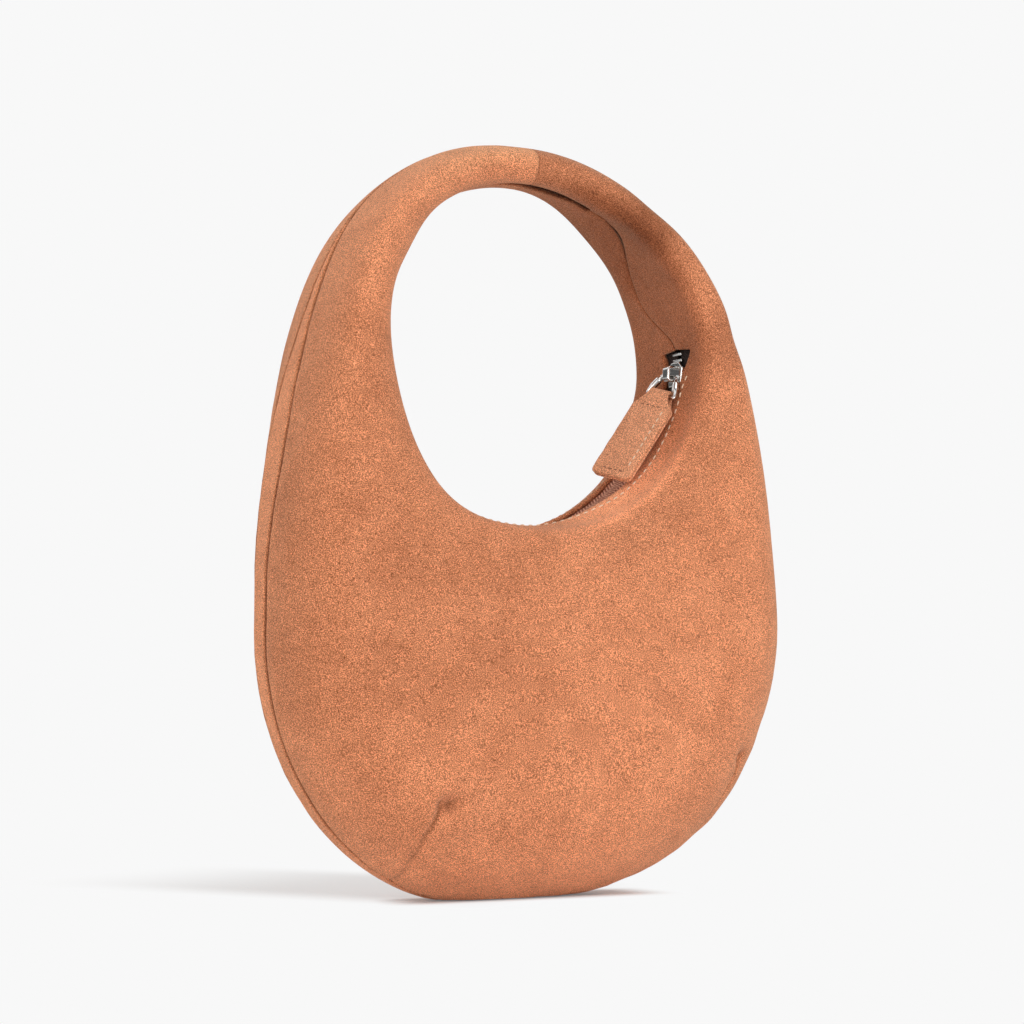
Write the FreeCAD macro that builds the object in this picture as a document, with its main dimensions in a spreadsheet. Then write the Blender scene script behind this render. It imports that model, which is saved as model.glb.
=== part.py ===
import FreeCAD, Part
import math
import os
import Sketcher
from FreeCAD import Placement, Rotation, Vector

# Egg-shaped suede top-handle bag with a round hand hole and a metal zip along the lower half of the hole.
# X runs across the bag, the front faces -Y, Z is up, and the origin is the middle of the base.

# Driving dimensions: millimetres, and degrees where the name ends in angle
SIZES = (
    ("bag_height", 280, "base to top of the handle"),
    ("bag_width", 203, "across the widest part of the pouch"),
    ("widest_height", 95, "height of the widest part"),
    ("base_length", 40, "straight run of the base"),
    ("hole_radius", 66, "round hand hole"),
    ("handle_thick", 14.5, "top of the hand hole to top of the handle"),
    ("handle_depth", 23, "front to back at the top of the handle"),
    ("side_depth", 58, "front to back beside the hand hole"),
    ("base_depth", 74, "front to back in the pouch"),
    ("gusset_width", 9.4, "strip round the sides and the base"),
    ("gusset_fall", 34, "top of the handle to the tips of the strip"),
    ("gusset_tip", 1.6, "width of the strip at its tips"),
    ("suede_thick", 1.4, "panels and gusset"),
    ("seam_gap", 0.3, "between two edges that are sewn together"),
    ("cross_seam", 8, "handle seam, right of the middle"),
    ("layer_gap", 0.2, "between layers"),
    ("padding_thick", 0.8, "interlining, and the stiffener in the base"),
    ("lining_thick", 0.5, "fabric pouch"),
    ("lining_rise", 16, "height of the lining's ends above the hole's centre"),
    ("stiffener_length", 110, "strip in the base, at most"),
    ("core_gap", 0.4, "round the handle's filler"),
    ("zip_offset", 6, "zip in front of the middle of the bag"),
    ("slot_width", 21, "opening for the zip"),
    ("slot_rise", 6.4, "height of the slot's ends above the hole's centre"),
    ("tape_thick", 0.7, "woven zip tape"),
    ("tape_gap", 0.3, "tape to the suede above it"),
    ("tape_lap", 3, "tape hidden under each panel"),
    ("tape_edge", 1.3, "edge of each tape to the middle of the zip"),
    ("tooth_pitch", 2.4, "along one row"),
    ("tooth_thick", 0.9, "along the row"),
    ("tooth_height", 3, "through the tape"),
    ("tooth_reach", 0.55, "head past the middle of the zip"),
    ("tooth_leg", 3, "legs' ends to the middle of the zip"),
    ("clamp_gap", 0.05, "tooth to the tape that it grips"),
    ("stop_thick", 1, "each bar of the top stops"),
    ("bottom_stop_length", 2.6, "along the zip"),
    ("slider_length", 9.5, "along the zip"),
    ("slider_nose", 10.2, "width at the shoulders"),
    ("slider_tip", 5, "width at the front edge"),
    ("slider_tail", 8.2, "width at the tail"),
    ("slider_shoulder", 2.2, "front edge to the shoulders"),
    ("slider_drop", 2.7, "slider's middle below the hole's centre, zip closed"),
    ("slide_gap", 0.35, "slider to the teeth and the tape"),
    ("plate_thick", 0.9, "both plates of the slider"),
    ("plate_round", 0.3, "edge of the slider's top"),
    ("flange_thick", 0.7, "turned edges of the plates"),
    ("post_width", 1.8, "post between the plates"),
    ("post_length", 2.8, "post between the plates"),
    ("crown_length", 6.4, "bridge on the slider"),
    ("crown_width", 2.4, "bridge on the slider"),
    ("crown_rise", 4.3, "bridge on the slider"),
    ("crown_thick", 1, "strip of the bridge"),
    ("crown_bevel", 1.1, "corners of the bridge"),
    ("wire_thick", 1.4, "stirrup"),
    ("wire_gap", 0.2, "round the stirrup's wire"),
    ("link_length", 8.4, "stirrup, from bar to bar"),
    ("link_narrow", 5.8, "stirrup, in the bridge"),
    ("link_wide", 13.6, "stirrup, in the tab"),
    ("tab_length", 39.6, "stirrup's bar to the tab's end"),
    ("tab_width", 18.8, "folded pull tab"),
    ("tab_neck", 8.6, "fold of the tab, between the stirrup's arms"),
    ("tab_neck_run", 1.8, "from the bar to where the tab starts to widen"),
    ("tab_shoulder", 5.4, "from the bar to where the tab is at full width"),
    ("tab_leather", 1.5, "each of the two layers of the tab"),
    ("tab_corner", 2.6, "rounding of the tab's corners"),
    ("pull_tilt_angle", 20, "the pull is turned in the slot"),
    ("pull_roll_angle", 14, "the pull leans over to the back"),
    ("link_lift_angle", 25, "stirrup, away from the zip"),
    ("tab_lift_angle", 7, "tab, away from the stirrup's line"),
    ("zip_travel_angle", 164, "slider's way round the hole"),
    ("overrun", 5, "past a face that is cut"),
)

# Shapes of the outline and of the section through the bag
OUTLINE_POWER = 2.41
RIM_POWER = 2.5
EDGE_POWER = 2.6
FALL_POWER = 1.5
LENS_POWER = 4
RIM_FLAT_TOP_SHARE = 0.45
RIM_FLAT_SIDE_SHARE = 0.7
RIM_FLAT_BASE_SHARE = 0.62
FULLEST_SIDE_SHARE = 0.5
FULLEST_BASE_SHARE = 0.66
TIP_FADE_SHARE = 0.05
CORE_END_SHARE = 0.42
POST_FRONT_SHARE = 0.44

# How finely the soft pieces are divided, and how much closer the sections stand round the base
SECTIONS = 36
STEPS = 4
BASE_CLOSER_SHARE = 0.4
SOLVER_STEPS = 40

doc = FreeCAD.newDocument("EggBag")
sheet = doc.addObject("Spreadsheet::Sheet", "Sizes")
for row, (alias, number, meaning) in enumerate(SIZES, start=1):
    sheet.set(f"A{row}", alias)
    sheet.set(f"B{row}", str(number))
    sheet.set(f"C{row}", meaning)
    sheet.setAlias(f"B{row}", alias)
doc.recompute()


def size(alias):
    return float(sheet.get(alias))


def value(expression):
    return float(sheet.evalExpression(expression))


# Places that several pieces share
HOLE_HEIGHT = size("bag_height") - size("handle_thick") - size("hole_radius")
HOLE_CENTRE = Vector(0, 0, HOLE_HEIGHT)
GUSSET_RISE = size("bag_height") - size("gusset_fall")
ACROSS = Vector(0, 1, 0)
ZIP_CENTRE = HOLE_CENTRE - ACROSS * size("zip_offset")
TAPE_MIDDLE = "(Sizes.hole_radius + Sizes.suede_thick + Sizes.tape_gap + Sizes.tape_thick / 2)"
TAPE_TOP = f"({TAPE_MIDDLE} - Sizes.tape_thick / 2)"
TAPE_BOTTOM = f"({TAPE_MIDDLE} + Sizes.tape_thick / 2)"
TEETH_TOP = f"({TAPE_MIDDLE} - Sizes.tooth_height / 2)"
TEETH_BOTTOM = f"({TAPE_MIDDLE} + Sizes.tooth_height / 2)"
CHANNEL_TOP = f"({TEETH_TOP} - Sizes.slide_gap)"
CHANNEL_BOTTOM = f"({TEETH_BOTTOM} + Sizes.slide_gap)"
SLIDER_TOP = f"({CHANNEL_TOP} - Sizes.plate_thick)"
TRACK_RADIUS = value(TAPE_MIDDLE)
PADDING_INSET = size("suede_thick") + size("layer_gap")
LINING_INSET = PADDING_INSET + size("padding_thick") + size("layer_gap")


def turn_of(length):
    """Degrees that a length along the zip turns about the hole's centre."""
    return math.degrees(length / TRACK_RADIUS)


SLOT_ANGLE = math.degrees(math.asin(size("slot_rise") / size("hole_radius")))
SLOT_SWEEP = 180 + 2 * SLOT_ANGLE
SLIDER_ANGLE = turn_of(size("slider_drop"))


# Outline and section of the bag
def half_width(height):
    """Half the width of the egg outline at a height."""
    side = size("bag_width") / 2
    widest = size("widest_height")
    if height >= widest:
        climb = min((height - widest) / (size("bag_height") - widest), 1)
        return side * (1 - climb ** OUTLINE_POWER) ** (1 / OUTLINE_POWER)
    flat = size("base_length") / 2
    fall = min((widest - height) / widest, 1)
    return flat + (side - flat) * math.sqrt(1 - fall ** 2)


def outline_radius(angle):
    """Distance from the hole's centre to the outline, in a direction given in radians."""
    inside = 0
    outside = size("bag_height")
    for _ in range(SOLVER_STEPS):
        radius = (inside + outside) / 2
        height = HOLE_HEIGHT + radius * math.sin(angle)
        within = 0 <= height <= size("bag_height")
        if within and abs(radius * math.cos(angle)) <= half_width(height):
            inside = radius
        else:
            outside = radius
    return inside


def blend(angle, top, side, base):
    """A value that changes smoothly from the handle's top to the sides and on to the base."""
    lift = math.sin(angle)
    end = top if lift > 0 else base
    return side + (end - side) * lift ** 2


def gusset_half(height):
    """Half the width of the strip at a height."""
    tip = size("gusset_tip") / 2
    climb = min(max(height / GUSSET_RISE, 0), 1)
    return tip + (size("gusset_width") / 2 - tip) * math.sqrt(1 - climb ** LENS_POWER)


def panel_edge(angle):
    """Depth of a panel's outer edge: along the strip, and past its tips in the middle of the bag."""
    height = HOLE_HEIGHT + outline_radius(angle) * math.sin(angle)
    fade = TIP_FADE_SHARE * size("bag_height")
    past_tip = min(max((height - GUSSET_RISE) / fade, 0), 1)
    beside = gusset_half(height) + size("seam_gap")
    meeting = size("seam_gap") / 2
    return beside + (meeting - beside) * past_tip


def ring_point(angle, radius, depth):
    """A point in the section at an angle about the hole, in front of the middle by a depth."""
    return HOLE_CENTRE + Vector(radius * math.cos(angle), -depth, radius * math.sin(angle))


def skin_points(angle, inset, edge_depth):
    """Points from the rim over the fullest part to the outer edge, a layer's inset inside the skin."""
    half_depth = blend(angle, size("handle_depth"), size("side_depth"), size("base_depth")) / 2
    flat = half_depth * blend(angle, RIM_FLAT_TOP_SHARE, RIM_FLAT_SIDE_SHARE, RIM_FLAT_BASE_SHARE)
    fullest = blend(angle, FULLEST_SIDE_SHARE, FULLEST_SIDE_SHARE, FULLEST_BASE_SHARE)
    rim = size("hole_radius")
    middle = rim + fullest * (outline_radius(angle) - rim)
    inner = rim + inset
    outer = outline_radius(angle) - inset
    crest = half_depth - inset
    points = []
    for step in range(STEPS + 1):
        swing = step / STEPS * math.pi / 2
        bulge = (1 - math.cos(swing) ** RIM_POWER) ** (1 / RIM_POWER)
        radius = inner + (middle - inner) * (1 - math.cos(swing))
        points.append(ring_point(angle, radius, flat + (crest - flat) * bulge))
    for step in range(1, STEPS + 1):
        swing = step / STEPS * math.pi / 2
        bulge = max(1 - math.sin(swing) ** EDGE_POWER, 0) ** (1 / FALL_POWER)
        radius = middle + (outer - middle) * math.sin(swing)
        points.append(ring_point(angle, radius, edge_depth + (crest - edge_depth) * bulge))
    return points


def section_turns():
    """Where the sections stand: from the cross seam all the way round, and at both tips of the strip."""
    top_radius = size("bag_height") - HOLE_HEIGHT
    seam = math.acos(size("cross_seam") / top_radius)
    gap = size("seam_gap") / top_radius
    start = seam - gap / 2
    sweep = 2 * math.pi - gap
    turns = []
    for step in range(SECTIONS + 1):
        even = start - sweep * step / SECTIONS
        turns.append(even - BASE_CLOSER_SHARE * (math.cos(even) - math.cos(start)))
    turns[-1] = start - sweep
    return sorted(turns + [TIP_TURN, -math.pi - TIP_TURN], reverse=True)


TIP_TURN = math.atan2(GUSSET_RISE - HOLE_HEIGHT, half_width(GUSSET_RISE))
TURNS = section_turns()


def facet(corners):
    return Part.Face(Part.makePolygon(corners + corners[:1]))


def faceted_solid(loops):
    """A closed solid through loops of points, with facets split across their shorter way and capped ends."""
    faces = [facet(loops[0]), facet(loops[-1])]
    count = len(loops[0])
    for near, far in zip(loops, loops[1:]):
        for step in range(count):
            following = (step + 1) % count
            one_way = near[step].distanceToPoint(far[following])
            other_way = near[following].distanceToPoint(far[step])
            if one_way < other_way:
                faces.append(facet([near[step], near[following], far[following]]))
                faces.append(facet([near[step], far[following], far[step]]))
            else:
                faces.append(facet([near[step], near[following], far[step]]))
                faces.append(facet([near[following], far[following], far[step]]))
    shell = Part.Shell(faces)
    shell.sewShape()
    solid = Part.Solid(shell)
    if solid.Volume < 0:
        solid.reverse()
    return solid


def ring_sector(inner, outer, depth, start, sweep):
    """A ring about the zip's centre, with angles in degrees that turn down from the right."""
    corners = ((inner, -depth), (outer, -depth), (outer, depth), (inner, depth))
    outline = facet([ZIP_CENTRE + Vector(radius, y, 0) for radius, y in corners])
    ring = outline.revolve(ZIP_CENTRE, ACROSS, sweep)
    ring.rotate(ZIP_CENTRE, ACROSS, start)
    return ring


def feature(label, shape):
    piece = doc.addObject("Part::Feature", label)
    piece.Label = label
    piece.Shape = shape
    return piece


def to_back(shape):
    """The same shape on the back of the bag."""
    return shape.mirror(Vector(0, 0, 0), ACROSS)


def mirrored(label, source):
    """The same piece on the back of the bag."""
    piece = doc.addObject("Part::Mirroring", label)
    piece.Label = label
    piece.Source = source
    piece.Normal = ACROSS
    return piece


# Suede panels
def panel_loop(angle):
    thick = size("suede_thick")
    rim = size("hole_radius")
    middle = size("seam_gap") / 2
    edge = panel_edge(angle)
    outer = [ring_point(angle, rim, middle)] + skin_points(angle, 0, edge)
    inner = [ring_point(angle, rim + thick, middle)] + skin_points(angle, thick, edge)
    return outer + inner[::-1]


def panel_shapes():
    """Two C-shaped panels, from the handle's cross seam all the way round, with the slot for the zip."""
    front = faceted_solid([panel_loop(turn) for turn in TURNS])
    rim = size("hole_radius")
    slot = ring_sector(
        rim - size("overrun"),
        rim + size("suede_thick") + size("tape_gap") / 2,
        size("slot_width") / 2,
        -SLOT_ANGLE,
        SLOT_SWEEP,
    )
    return front.cut(slot), to_back(front).cut(slot)


# Gusset, and the stiffener that lies in it
def strip_loop(angle, inset, thick):
    outer = outline_radius(angle) - inset
    inner = outer - thick
    half = gusset_half(HOLE_HEIGHT + outline_radius(angle) * math.sin(angle))
    return [
        ring_point(angle, outer, half),
        ring_point(angle, outer, -half),
        ring_point(angle, inner, -half),
        ring_point(angle, inner, half),
    ]


def gusset_shape():
    """A strip bent round the base and up the sides, as far as its tips."""
    turns = [turn for turn in TURNS if -math.pi - TIP_TURN <= turn <= TIP_TURN]
    return faceted_solid([strip_loop(turn, 0, size("suede_thick")) for turn in turns])


def stiffener_shape():
    """A strip that lies on the gusset, over the sections within its length."""
    reach = math.atan2(size("stiffener_length") / 2, HOLE_HEIGHT)
    turns = [turn for turn in TURNS if abs(turn + math.pi / 2) < reach]
    return faceted_solid([strip_loop(turn, PADDING_INSET, size("padding_thick")) for turn in turns])


# Padding, lining and handle filler
def pouch_turns():
    """Where the sections of the lining stand: from one end of the zip to the other."""
    return [turn for turn in TURNS if math.sin(turn) <= size("lining_rise") / size("hole_radius")]


def padding_shape():
    """Thin padding behind one panel."""
    loops = []
    for turn in pouch_turns():
        edge = panel_edge(turn)
        outer = skin_points(turn, PADDING_INSET, edge)[1:]
        inner = skin_points(turn, PADDING_INSET + size("padding_thick"), edge)[1:]
        loops.append(outer + inner[::-1])
    return faceted_solid(loops)


def lining_shape(zip_depth):
    """Fabric behind one panel, from the edge of the zip tape to the middle of the gusset."""
    depth = zip_depth + size("slot_width") / 2 + size("tape_lap") + size("layer_gap")
    middle = size("seam_gap") / 2
    loops = []
    for turn in pouch_turns():
        sides = []
        for inset in (LINING_INSET, LINING_INSET + size("lining_thick")):
            rim = ring_point(turn, size("hole_radius") + inset, depth)
            sides.append([rim] + skin_points(turn, inset, middle))
        loops.append(sides[0] + sides[1][::-1])
    return faceted_solid(loops)


def core_shape():
    """Filler that fills the handle, from one shoulder to the other."""
    inset = size("suede_thick") + size("core_gap")
    turns = sorted(turn % (2 * math.pi) for turn in TURNS[:-1] if math.sin(turn) > CORE_END_SHARE)
    loops = []
    for turn in turns:
        front = skin_points(turn, inset, 0)
        back = [Vector(point.x, -point.y, point.z) for point in reversed(front[:-1])]
        loops.append(front + back)
    return faceted_solid(loops)


# Sketched bodies: corners are pairs of expressions, measured from the body's origin
def new_body(label):
    body = doc.addObject("PartDesign::Body", label)
    body.Label = label
    return body


def new_sketch(body, name, role, offset):
    sketch = body.newObject("Sketcher::SketchObject", name)
    plane = next(item for item in body.Origin.OriginFeatures if item.Role == role)
    sketch.AttachmentSupport = (plane, "")
    sketch.MapMode = "FlatFace"
    if offset:
        sketch.setExpression("AttachmentOffset.Base.z", offset)
    return sketch


def add_corner(sketch, line, axis, expression):
    """Hold the start of a line at a distance from the origin, or on an axis where it is zero."""
    if expression == "0":
        on_axis = -2 if axis == "X" else -1
        sketch.addConstraint(Sketcher.Constraint("PointOnObject", line, 1, on_axis))
        return
    held = Sketcher.Constraint(f"Distance{axis}", -1, 1, line, 1, value(expression))
    index = sketch.addConstraint(held)
    sketch.setExpression(f"Constraints[{index}]", expression)


def polygon_sketch(body, name, role, loops, offset=None):
    sketch = new_sketch(body, name, role, offset)
    for corners in loops:
        first = sketch.GeometryCount
        count = len(corners)
        places = [Vector(value(x), value(y), 0) for x, y in corners]
        for step in range(count):
            sketch.addGeometry(Part.LineSegment(places[step], places[(step + 1) % count]), False)
        for step in range(count):
            following = first + (step + 1) % count
            sketch.addConstraint(Sketcher.Constraint("Coincident", first + step, 2, following, 1))
        for step, (x, y) in enumerate(corners):
            add_corner(sketch, first + step, "X", x)
            add_corner(sketch, first + step, "Y", y)
    return sketch


def circle_sketch(body, name, role, radius):
    sketch = new_sketch(body, name, role, None)
    centre = Vector(0, 0, 0)
    sketch.addGeometry(Part.Circle(centre, Vector(0, 0, 1), value(radius)), False)
    sketch.addConstraint(Sketcher.Constraint("Coincident", 0, 3, -1, 1))
    index = sketch.addConstraint(Sketcher.Constraint("Radius", 0, value(radius)))
    sketch.setExpression(f"Constraints[{index}]", radius)
    return sketch


def add_pad(body, name, sketch, length, both_ways=False):
    pad = body.newObject("PartDesign::Pad", name)
    pad.Profile = sketch
    pad.Midplane = both_ways
    pad.setExpression("Length", length)
    return pad


def add_fillet(body, name, radius, wanted):
    """Round the edges of the body so far that a test picks out."""
    doc.recompute()
    base = body.Tip
    edges = [f"Edge{number}" for number, edge in enumerate(base.Shape.Edges, start=1) if wanted(edge)]
    fillet = body.newObject("PartDesign::Fillet", name)
    fillet.Base = (base, edges)
    fillet.setExpression("Radius", radius)
    return fillet


def at_hole(body, turn):
    """Put a body that is drawn about the zip's centre, turned down from the right by degrees."""
    body.Placement = Placement(ZIP_CENTRE, Rotation(ACROSS, turn))


# Zip tapes, teeth and stops
def zip_tape(label, side):
    body = new_body(label)
    edge = f"({side} * Sizes.tape_edge)"
    reach = f"({side} * (Sizes.slot_width / 2 + Sizes.tape_lap))"
    corners = ((TAPE_TOP, edge), (TAPE_BOTTOM, edge), (TAPE_BOTTOM, reach), (TAPE_TOP, reach))
    sketch = polygon_sketch(body, f"{label}_outline", "XY_Plane", (corners,))
    tape = body.newObject("PartDesign::Revolution", f"{label}_bend")
    tape.Profile = sketch
    tape.ReferenceAxis = (sketch, ["V_Axis"])
    tape.Angle = SLOT_SWEEP
    at_hole(body, -SLOT_ANGLE)
    return body


def grip_corners(side, inner):
    """A tooth's outline: a head at the middle of the zip, and two legs that grip the tape."""
    leg = f"({side} * Sizes.tooth_leg)"
    throat = f"({side} * (Sizes.tape_edge - Sizes.clamp_gap))"
    upper = f"({TAPE_TOP} - Sizes.clamp_gap)"
    lower = f"({TAPE_BOTTOM} + Sizes.clamp_gap)"
    return (
        (TEETH_TOP, inner), (TEETH_TOP, leg), (upper, leg), (upper, throat),
        (lower, throat), (lower, leg), (TEETH_BOTTOM, leg), (TEETH_BOTTOM, inner),
    )


FIRST_TOOTH_ANGLE = SLIDER_ANGLE + turn_of(size("tooth_pitch"))
STOP_ANGLE = SLIDER_ANGLE + size("zip_travel_angle") + turn_of(
    size("slider_length") / 2 + size("bottom_stop_length") / 2 + size("slide_gap"))
TEETH_SWEEP = STOP_ANGLE - FIRST_TOOTH_ANGLE - turn_of(size("bottom_stop_length"))
TOOTH_GAPS = int(TEETH_SWEEP / turn_of(size("tooth_pitch")))


TOP_STOP_ANGLE = SLIDER_ANGLE - turn_of(
    size("slider_length") / 2 + size("slide_gap") + size("stop_thick") / 2 + size("tooth_pitch"))


def zip_teeth(label, side, start):
    body = new_body(label)
    head = f"(-({side}) * Sizes.tooth_reach)"
    sketch = polygon_sketch(body, f"{label}_outline", "XY_Plane", (grip_corners(side, head),))
    tooth = add_pad(body, f"{label}_tooth", sketch, "Sizes.tooth_thick", True)
    row = body.newObject("PartDesign::PolarPattern", f"{label}_row")
    row.Originals = [tooth]
    row.Axis = (sketch, ["V_Axis"])
    row.Angle = TOOTH_GAPS * turn_of(size("tooth_pitch"))
    row.Occurrences = TOOTH_GAPS + 1
    body.Tip = row
    at_hole(body, start)
    return body


def zip_stop(label, length, turn):
    """A bar across both tapes that grips them as the teeth do."""
    body = new_body(label)
    right = grip_corners(1, "0")[1:-1]
    left = grip_corners(-1, "0")[1:-1]
    sketch = polygon_sketch(body, f"{label}_outline", "XY_Plane", (right + left[::-1],))
    add_pad(body, f"{label}_bar", sketch, length, True)
    at_hole(body, turn)
    return body


# Slider: two plates on a post, with turned edges that leave a slit for the tape
def slider_outline():
    front = "(Sizes.slider_length / 2)"
    back = "(-Sizes.slider_length / 2)"
    shoulder = f"({front} - Sizes.slider_shoulder)"
    return (
        ("(Sizes.slider_tip / 2)", front), ("(Sizes.slider_nose / 2)", shoulder),
        ("(Sizes.slider_tail / 2)", back), ("(-Sizes.slider_tail / 2)", back),
        ("(-Sizes.slider_nose / 2)", shoulder), ("(-Sizes.slider_tip / 2)", front),
    )


def flange_outline(side):
    back = "(-Sizes.slider_length / 2)"
    shoulder = "(Sizes.slider_length / 2 - Sizes.slider_shoulder)"
    nose = "Sizes.slider_nose / 2"
    tail = "Sizes.slider_tail / 2"
    return (
        (f"({side} * {nose})", shoulder), (f"({side} * {tail})", back),
        (f"({side} * ({tail} - Sizes.flange_thick))", back),
        (f"({side} * ({nose} - Sizes.flange_thick))", shoulder),
    )


def post_outline():
    front = f"(Sizes.slider_length * {POST_FRONT_SHARE})"
    back = f"({front} - Sizes.post_length)"
    waist = f"({front} - Sizes.post_length / 2)"
    side = "(Sizes.post_width / 2)"
    return ((side, front), (side, waist), ("0", back), (f"(-{side})", waist), (f"(-{side})", front))


def slider_body():
    body = new_body("slider_body")
    plan = "YZ_Plane"
    flanges = (flange_outline(1), flange_outline(-1))
    lip = "(Sizes.tooth_height / 2 - Sizes.tape_thick / 2)"
    plate = polygon_sketch(body, "top_plate_outline", plan, (slider_outline(),), SLIDER_TOP)
    add_pad(body, "top_plate", plate, "Sizes.plate_thick")
    post = polygon_sketch(body, "post_outline", plan, (post_outline(),), CHANNEL_TOP)
    add_pad(body, "post", post, f"({CHANNEL_BOTTOM} - {CHANNEL_TOP})")
    plate = polygon_sketch(body, "bottom_plate_outline", plan, (slider_outline(),), CHANNEL_BOTTOM)
    add_pad(body, "bottom_plate", plate, "Sizes.plate_thick")
    edges = polygon_sketch(body, "top_edges_outline", plan, flanges, CHANNEL_TOP)
    add_pad(body, "top_edges", edges, lip)
    lower = f"({CHANNEL_BOTTOM} - {lip})"
    edges = polygon_sketch(body, "bottom_edges_outline", plan, flanges, lower)
    add_pad(body, "bottom_edges", edges, lip)
    top = value(SLIDER_TOP)
    near = size("clamp_gap")
    add_fillet(body, "top_round", "Sizes.plate_round", lambda edge: edge.BoundBox.XMax < top + near)
    at_hole(body, SLIDER_ANGLE)
    return body


def slider_crown():
    """A bridge of bent strip that stands on the slider."""
    body = new_body("slider_crown")
    front = "(Sizes.crown_length / 2)"
    back = "(-Sizes.crown_length / 2)"
    crest = f"({SLIDER_TOP} - Sizes.crown_rise)"
    under = f"({crest} + Sizes.crown_thick)"
    bend = f"({crest} + Sizes.crown_bevel)"
    corners = (
        (SLIDER_TOP, back), (bend, back), (crest, f"({back} + Sizes.crown_bevel)"),
        (crest, f"({front} - Sizes.crown_bevel)"), (bend, front), (SLIDER_TOP, front),
        (SLIDER_TOP, f"({front} - Sizes.crown_thick)"), (under, f"({front} - Sizes.crown_thick)"),
        (under, f"({back} + Sizes.crown_thick)"), (SLIDER_TOP, f"({back} + Sizes.crown_thick)"),
    )
    sketch = polygon_sketch(body, "crown_outline", "XZ_Plane", (corners,))
    add_pad(body, "crown_strip", sketch, "Sizes.crown_width", True)
    at_hole(body, SLIDER_ANGLE)
    return body


# Pull: a wire stirrup in the crown, and a folded tab on the stirrup's bar
PULL_TILT = Rotation(Vector(0, 0, 1), size("pull_tilt_angle"))
PULL_TURN = PULL_TILT * Rotation(Vector(1, 0, 0), size("pull_roll_angle"))
PULL_AXIS = PULL_TURN.multVec(ACROSS)
HANGING_WAY = PULL_TURN.multVec(Vector(0, 0, -1))
LINK_WAY = Rotation(PULL_AXIS, size("link_lift_angle")).multVec(HANGING_WAY)
TAB_WAY = Rotation(PULL_AXIS, size("link_lift_angle") + size("tab_lift_angle")).multVec(HANGING_WAY)


def link_pivot():
    """Middle of the stirrup's narrow end, in the corner of the crown's opening towards the tail."""
    tilt = math.tan(math.radians(size("pull_tilt_angle"))) * size("crown_width") / 2
    roll = math.tan(math.radians(size("pull_roll_angle"))) * size("crown_width") / 2
    clear = size("crown_thick") + size("wire_thick") / 2 + size("wire_gap")
    radius = value(SLIDER_TOP) - size("crown_rise") + clear + tilt
    along = clear + roll - size("crown_length") / 2
    return ZIP_CENTRE + Rotation(ACROSS, SLIDER_ANGLE).multVec(Vector(radius, 0, along))


def pull_frame(way, place):
    """A frame with X along a pull piece and Y along the stirrup's bars."""
    return Placement(place, Rotation(way, PULL_AXIS, way.cross(PULL_AXIS), "XYZ"))


def link_shape():
    """A closed loop of wire: a straight run along each side, and a round bend at each corner."""
    narrow = size("link_narrow") / 2
    wide = size("link_wide") / 2
    length = size("link_length")
    thick = size("wire_thick") / 2
    ends = [Vector(0, -narrow, 0), Vector(0, narrow, 0)]
    corners = ends + [Vector(length, wide, 0), Vector(length, -wide, 0)]
    runs = []
    for here, following in zip(corners, corners[1:] + corners[:1]):
        runs.append(Part.makeCylinder(thick, here.distanceToPoint(following), here, following - here))
        runs.append(Part.makeSphere(thick, here))
    return runs[0].multiFuse(runs[1:])


def pull_tab(place):
    body = new_body("pull_tab")
    neck = "(Sizes.tab_neck / 2)"
    side = "(Sizes.tab_width / 2)"
    corners = (
        ("0", neck), ("Sizes.tab_neck_run", neck), ("Sizes.tab_shoulder", side), ("Sizes.tab_length", side),
        ("Sizes.tab_length", f"(-{side})"), ("Sizes.tab_shoulder", f"(-{side})"),
        ("Sizes.tab_neck_run", f"(-{neck})"), ("0", f"(-{neck})"),
    )
    sketch = polygon_sketch(body, "tab_outline", "XY_Plane", (corners,))
    add_pad(body, "tab_layers", sketch, "(2 * Sizes.tab_leather)", True)
    bore = "(Sizes.wire_thick / 2 + Sizes.wire_gap)"
    fold = circle_sketch(body, "tab_fold_outline", "XZ_Plane", f"({bore} + Sizes.tab_leather)")
    add_pad(body, "tab_fold", fold, "Sizes.tab_neck", True)
    hole = circle_sketch(body, "tab_hole_outline", "XZ_Plane", bore)
    cut = body.newObject("PartDesign::Pocket", "tab_hole")
    cut.Profile = hole
    cut.Midplane = True
    cut.setExpression("Length", "(Sizes.tab_width + Sizes.overrun)")
    end = size("tab_length")
    near = size("clamp_gap")

    def at_end_corner(edge):
        box = edge.BoundBox
        return box.XMin > end - near and box.YLength < near

    add_fillet(body, "tab_corners", "Sizes.tab_corner", at_end_corner)
    body.Placement = place
    return body


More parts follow.
